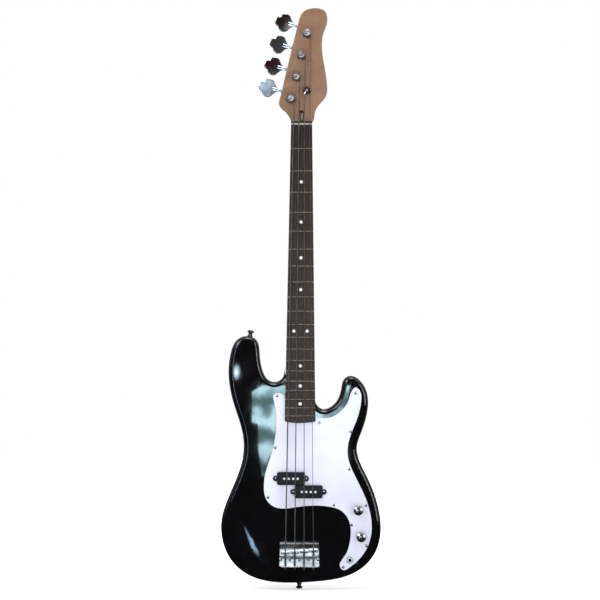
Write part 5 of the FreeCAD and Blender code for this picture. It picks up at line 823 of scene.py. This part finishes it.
def make_volute():
    """Wood that rounds the back of the neck into the ramp of the headstock, and closes the hole that the slot of the
    truss rod nut leaves there."""
    across, backs = zip(*SHAFT_BACK)
    heights, ramp = zip(*HEAD_RAMP)
    curve = np.polyfit(np.square(across), backs, 3)
    columns, rows = VOLUTE_COLUMNS, VOLUTE_ROWS
    tops, floors = [], []
    for x in np.linspace(-VOLUTE_HALF, VOLUTE_HALF, columns):
        start = np.polyval(curve, x * x) - VOLUTE_SINK
        end = start + VOLUTE_RISE
        end_z = np.interp(end, ramp, heights)
        end_slope = VOLUTE_SLOPE * (end_z - SHAFT_END)
        floor = ACCESS_FLOOR if abs(x) < ACCESS_HALF else min(ramp) - VOLUTE_BED
        for row in range(rows + 1):
            share = row / rows
            z = SHAFT_END + (end_z + VOLUTE_PAST - SHAFT_END) * share
            tops.append((x * MM, hermite(share, start, 0.0, end, end_slope) * MM, z * MM))
            floors.append((x * MM, floor * MM, z * MM))
    step = rows + 1
    under = len(tops)
    faces = []
    for column in range(columns - 1):
        for row in range(rows):
            near = column * step + row
            faces.append((near, near + 1, near + step + 1, near + step))
            faces.append((under + near, under + near + step, under + near + step + 1, under + near + 1))
        for row in (0, rows):
            near = column * step + row
            side = (near, near + step, under + near + step, under + near)
            faces.append(side if row == 0 else tuple(reversed(side)))
    for row in range(rows):
        for column in (0, columns - 1):
            near = column * step + row
            side = (near, under + near, under + near + 1, near + 1)
            faces.append(side if column == 0 else tuple(reversed(side)))
    piece = mesh_piece("neck_volute", tops + floors, faces, FINISHES["neck_wood"])
    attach(piece, ROOT)


def make_leads():
    """Cloth-covered leads; the first of them follows its pickup."""
    for name, corners in LEADS.items():
        route, _ = rounded_route(corners, [LEAD_BEND] * (len(corners) - 2), LEAD_SPACING)
        points, sides = frames_along(route)
        radii = [LEAD_RADIUS] * len(points)
        piece = tube(name, points, sides, radii, LEAD_RING, FINISHES["wire_cloth"])
        if name == "pickup_lead":
            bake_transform(piece)
        else:
            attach(piece, ROOT)
        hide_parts("lead_wires")


def stage_card(name, corners, material):
    """Flat glowing card of the studio, seen only in reflections."""
    mesh = bpy.data.meshes.new(name)
    mesh.from_pydata(corners, [], [tuple(range(len(corners)))])
    mesh.materials.append(material)
    card = bpy.data.objects.new(name, mesh)
    card.visible_camera = False
    card.visible_diffuse = False
    card.visible_shadow = False
    SCENE.collection.objects.link(card)


def upright(y, *places):
    """Corners of a card that stands at a depth, from pairs of x and z."""
    return [(x, y, z) for x, z in places]


def on_floor(*places):
    """Corners of a card just above the floor, from pairs of x and y."""
    return [(x, y, CARD_LEVEL) for x, y in places]


def oblong(left, right, low, high):
    """Four places round a rectangle."""
    return [(left, low), (right, low), (right, high), (left, high)]


def around(x, z, half_x, half_z):
    """Twelve places round an oval."""
    angles = [k * math.pi / 6 for k in range(12)]
    return [(x + half_x * math.cos(angle), z + half_z * math.sin(angle)) for angle in angles]


def make_floor():
    """Pale floor disc under the instrument, which glows with painted light that grows stronger away from it."""
    ring, rings = FLOOR_RING, FLOOR_RINGS
    level = CAD_BOX[0].z - FLOOR_GAP
    vertices, faces = [(0.0, 0.0, level)], []
    for r in range(1, rings + 1):
        radius = FLOOR_RADIUS * r / rings
        for k in range(ring):
            angle = 2 * math.pi * k / ring
            vertices.append((radius * math.cos(angle), radius * math.sin(angle), level))
    for k in range(ring):
        faces.append((0, 1 + k, 1 + (k + 1) % ring))
    for r in range(rings - 1):
        for k in range(ring):
            near, far = 1 + r * ring + k, 1 + r * ring + (k + 1) % ring
            faces.append((near, near + ring, far + ring, far))
    mesh = bpy.data.meshes.new("floor")
    mesh.from_pydata(vertices, [], faces)
    look = Look("floor_paint_and_glow", Roughness=0.9)
    look.set("Base Color", look.ramp(look.noise(2.0, 2.0), (0.3, srgb(240, 240, 241)), (0.7, srgb(246, 246, 247))))
    # Painted light: the floor glows, weakly near the instrument and strongly away from it
    look.set("Emission Color", WHITE)
    look.set("Emission Strength", look.span(look.away(look.coords), 0.45, 1.6, 0.2, 1.6))
    # Dim where gloss would mirror it, as a floor that ends in front of the instrument is
    dim = look.node("ShaderNodeBsdfDiffuse", {"Color": (0.02, 0.02, 0.022, 1.0)})
    glossy = look.node("ShaderNodeLightPath").outputs["Is Glossy Ray"]
    front = look.span(look.axis("Y"), 1.0, 0.86, 0.1, 0.8)
    mix = look.node("ShaderNodeMixShader", {"Fac": look.calc("MULTIPLY", glossy, front)})
    look.tree.links.new(look.shader.outputs["BSDF"], mix.inputs[1])
    look.tree.links.new(dim.outputs["BSDF"], mix.inputs[2])
    output = next(n for n in look.tree.nodes if n.type == "OUTPUT_MATERIAL")
    look.tree.links.new(mix.outputs["Shader"], output.inputs["Surface"])
    mesh.materials.append(look.material)
    floor = bpy.data.objects.new("floor", mesh)
    SCENE.collection.objects.link(floor)


def make_world():
    """White to the camera, and a room with a dim front and bright sides to reflections."""
    world = bpy.data.worlds.new("studio")
    SCENE.world = world
    world.use_nodes = True
    tree = world.node_tree
    tree.nodes.clear()
    new, link = tree.nodes.new, tree.links.new
    coords = new("ShaderNodeTexCoord")
    split = new("ShaderNodeSeparateXYZ")
    link(coords.outputs["Generated"], split.inputs["Vector"])
    rise = new("ShaderNodeValToRGB")
    set_stops(rise, [(place, tuple(tone * channel for channel in ROOM_TINT) + (1.0,)) for place, tone in ROOM_TONES])
    half = new("ShaderNodeMapRange")
    half.inputs["From Min"].default_value = -1.0
    link(split.outputs["Z"], half.inputs["Value"])
    link(half.outputs["Result"], rise.inputs["Fac"])
    facing = new("ShaderNodeMapRange")
    facing.interpolation_type = "SMOOTHSTEP"
    facing.inputs["From Min"].default_value = ROOM_FRONT_FROM
    facing.inputs["From Max"].default_value = ROOM_FRONT_TO
    link(split.outputs["Y"], facing.inputs["Value"])
    front = new("ShaderNodeValToRGB")
    set_stops(front, [(0.0, ROOM_FRONT), (1.0, WHITE)])
    link(facing.outputs["Result"], front.inputs["Fac"])
    dim = new("ShaderNodeVectorMath")
    dim.operation = "MULTIPLY"
    link(rise.outputs["Color"], dim.inputs[0])
    link(front.outputs["Color"], dim.inputs[1])
    room = new("ShaderNodeBackground")
    link(dim.outputs["Vector"], room.inputs["Color"])
    white = new("ShaderNodeBackground")
    white.inputs["Color"].default_value = WHITE
    path = new("ShaderNodeLightPath")
    mix = new("ShaderNodeMixShader")
    link(path.outputs["Is Camera Ray"], mix.inputs["Fac"])
    link(room.outputs["Background"], mix.inputs[1])
    link(white.outputs["Background"], mix.inputs[2])
    out = new("ShaderNodeOutputWorld")
    link(mix.outputs["Shader"], out.inputs["Surface"])


def area_light(name, place, width, height, power, colour, mirrored):
    """Soft lamp that the camera doesn't see."""
    data = bpy.data.lights.new(name, "AREA")
    data.shape = "RECTANGLE"
    data.size, data.size_y = width, height
    data.energy = power
    data.color = colour
    lamp = bpy.data.objects.new(name, data)
    lamp.location = place
    lamp.rotation_euler = (Vector(LAMP_TARGET) - Vector(place)).to_track_quat("-Z", "Y").to_euler()
    lamp.visible_camera = False
    lamp.visible_glossy = mirrored
    SCENE.collection.objects.link(lamp)


def sky_material():
    """Bright sky with bands of soft green-grey trees, seen through a window."""
    look = Look("window_sky", Roughness=1.0)
    look.set("Base Color", BLACK)
    drift = look.calc("ADD", look.calc("MULTIPLY", look.noise(17.0, 6.0, None, 0.9), 7.0), 2.3)
    bands = look.calc("COSINE", look.calc("ADD", look.calc("MULTIPLY", look.axis("Z"), 62.0), drift))
    look.set("Emission Color", look.ramp(look.span(bands, 0.0, 1.0, -1.0, 1.0), (0.1, (0.10, 0.17, 0.17, 1)),
                                         (0.5, (0.26, 0.43, 0.50, 1)), (0.9, (0.60, 0.92, 1.0, 1))))
    look.set("Emission Strength", look.span(look.axis("Z"), 4.5, 14.0, 0.045, 0.135))
    return look.material


def card_material(name, colour, strength, scale=6.0, least=0.6, fade=None):
    """Glow of a card, uneven as a cloth over a lamp is, and fading from its middle where a middle, half sizes
    and a turn about the upright are given."""
    look = Look(name, Roughness=1.0)
    look.set("Base Color", BLACK)
    low = tuple(channel * least for channel in colour[:3]) + (1.0,)
    look.set("Emission Color", look.ramp(look.noise(scale, 3.0), (0.42, low), (0.58, colour)))
    if fade:
        middle, halves, turn = fade
        links = {"Vector": look.coords, "Location": middle, "Scale": halves, "Rotation": (0.0, 0.0, turn)}
        place = look.node("ShaderNodeMapping", links, vector_type="TEXTURE").outputs["Vector"]
        strength = look.span(look.away(place), strength, 0.0, 0.1, 1.0)
    look.set("Emission Strength", strength)
    return look.material


def window_cards():
    """Windows that the lacquer mirrors, two soft glints on the body's edge, and the wall behind."""
    outline = ((-0.1463, 0.2944), (-0.1159, 0.3145), (0.1525, 0.3159), (0.139, 0.22), (0.139, 0.0459),
               (-0.1145, 0.0384), (-0.1256, 0.1177), (-0.1274, 0.1969), (-0.1459, 0.2029))
    stage_card("window", upright(CARD_DEPTH, *outline), sky_material())
    horn, half = (-0.194, CARD_DEPTH, 0.355), (0.012, 1.0, 0.026)
    stage_card("horn_glint", upright(CARD_DEPTH, *around(horn[0], horn[2], half[0], half[2])),
               card_material("horn_card", (0.66, 0.88, 1.0, 1.0), 26.0, 6.0, 0.8, (horn, half, 0.0)))
    stage_card("left_window", upright(CARD_DEPTH, *oblong(-1.05, -0.6, 0.0, 1.1)),
               card_material("side_card", (0.50, 0.76, 1.0, 1.0), 5.5))
    arm, half, turn = (-0.172, -0.68, CARD_LEVEL), (0.034, 0.34, 1.0), math.radians(-5.9)
    stage_card("arm_glint", on_floor(*oblong(-0.26, -0.09, -1.05, -0.33)),
               card_material("arm_card", (0.46, 0.70, 1.0, 1.0), 12.5, 6.0, 0.8, (arm, half, turn)))
    stage_card("back_wall", upright(BACK_CARD_DEPTH, *oblong(-2.5, 2.5, 0.0, 3.0)),
               card_material("back_card", (0.95, 0.98, 1.0, 1.0), 0.26, 1.2, 0.25))


def metal_cards():
    """Small cards that the bridge, the jack, the pole pieces, the keys and the posts mirror to the front."""
    pale = card_material("pale_card", (0.78, 0.92, 1.0, 1.0), 1.5, 12.0, 0.5)
    stage_card("bridge_upper", on_floor(*oblong(-0.045, 0.045, -0.95, -0.77)), pale)
    stage_card("bridge_lower", on_floor(*oblong(-0.045, 0.045, -0.69, -0.57)), pale)
    shine = card_material("shine_card", (0.90, 0.96, 1.0, 1.0), 2.4, 30.0, 0.4)
    stage_card("bridge_edge", on_floor(*oblong(-0.047, 0.047, -1.16, -1.128)), shine)
    stage_card("bridge_foot", on_floor(*oblong(-0.045, 0.045, -0.565, -0.52)), shine)
    stage_card("jack_card", on_floor(*oblong(0.100, 0.130, -0.80, -0.57)), pale)
    white = card_material("white_card", (0.95, 0.98, 1.0, 1.0), 1.5)
    stage_card("pole_card_bass", upright(POLE_CARD_DEPTH, *oblong(-0.056, 0.002, 0.040, 0.069)), white)
    stage_card("pole_card_treble", upright(POLE_CARD_DEPTH, *oblong(-0.006, 0.053, 0.002, 0.031)), white)
    cold = card_material("key_card", (0.72, 0.88, 1.0, 1.0), 1.05, 42.0, 0.2)
    stage_card("key_e_card", upright(CARD_DEPTH, *oblong(-0.17, -0.05, 1.17, 1.256)), cold)
    grey = card_material("post_card", (0.85, 0.86, 0.90, 1.0), 1.2, 70.0, 0.08)
    stage_card("post_card", upright(CARD_DEPTH, *oblong(-0.045, 0.040, 1.18, 1.42)), grey)
    dull = card_material("dull_card", (0.07, 0.07, 0.065, 1.0), 1.0)
    stage_card("key_d_card", upright(CARD_DEPTH, *oblong(-0.13, -0.02, 1.326, 1.393)), dull)


def make_light():
    """The room, its lamps and its cards."""
    make_world()
    for name, settings in LAMPS.items():
        area_light(name, *settings)
    window_cards()
    metal_cards()


def make_camera():
    """Long lens in front of the body, tilted as the photograph is."""
    data = bpy.data.cameras.new("camera")
    data.sensor_width = CAMERA_SENSOR
    data.lens = CAMERA_SENSOR * CAMERA_DISTANCE / CAMERA_WIDTH
    data.clip_end = CAMERA_END
    camera = bpy.data.objects.new("camera", data)
    x, y, z = CAMERA_AIM
    camera.location = (x, y - CAMERA_DISTANCE, z)
    camera.rotation_euler = (math.pi / 2, -math.radians(CAMERA_TILT), 0.0)
    SCENE.collection.objects.link(camera)
    SCENE.camera = camera


finish_nodes()
make_camera()
make_strings()
make_springs()
make_pads()
make_volute()
make_leads()
make_floor()
make_light()
SCENE.view_settings.view_transform = "Standard"
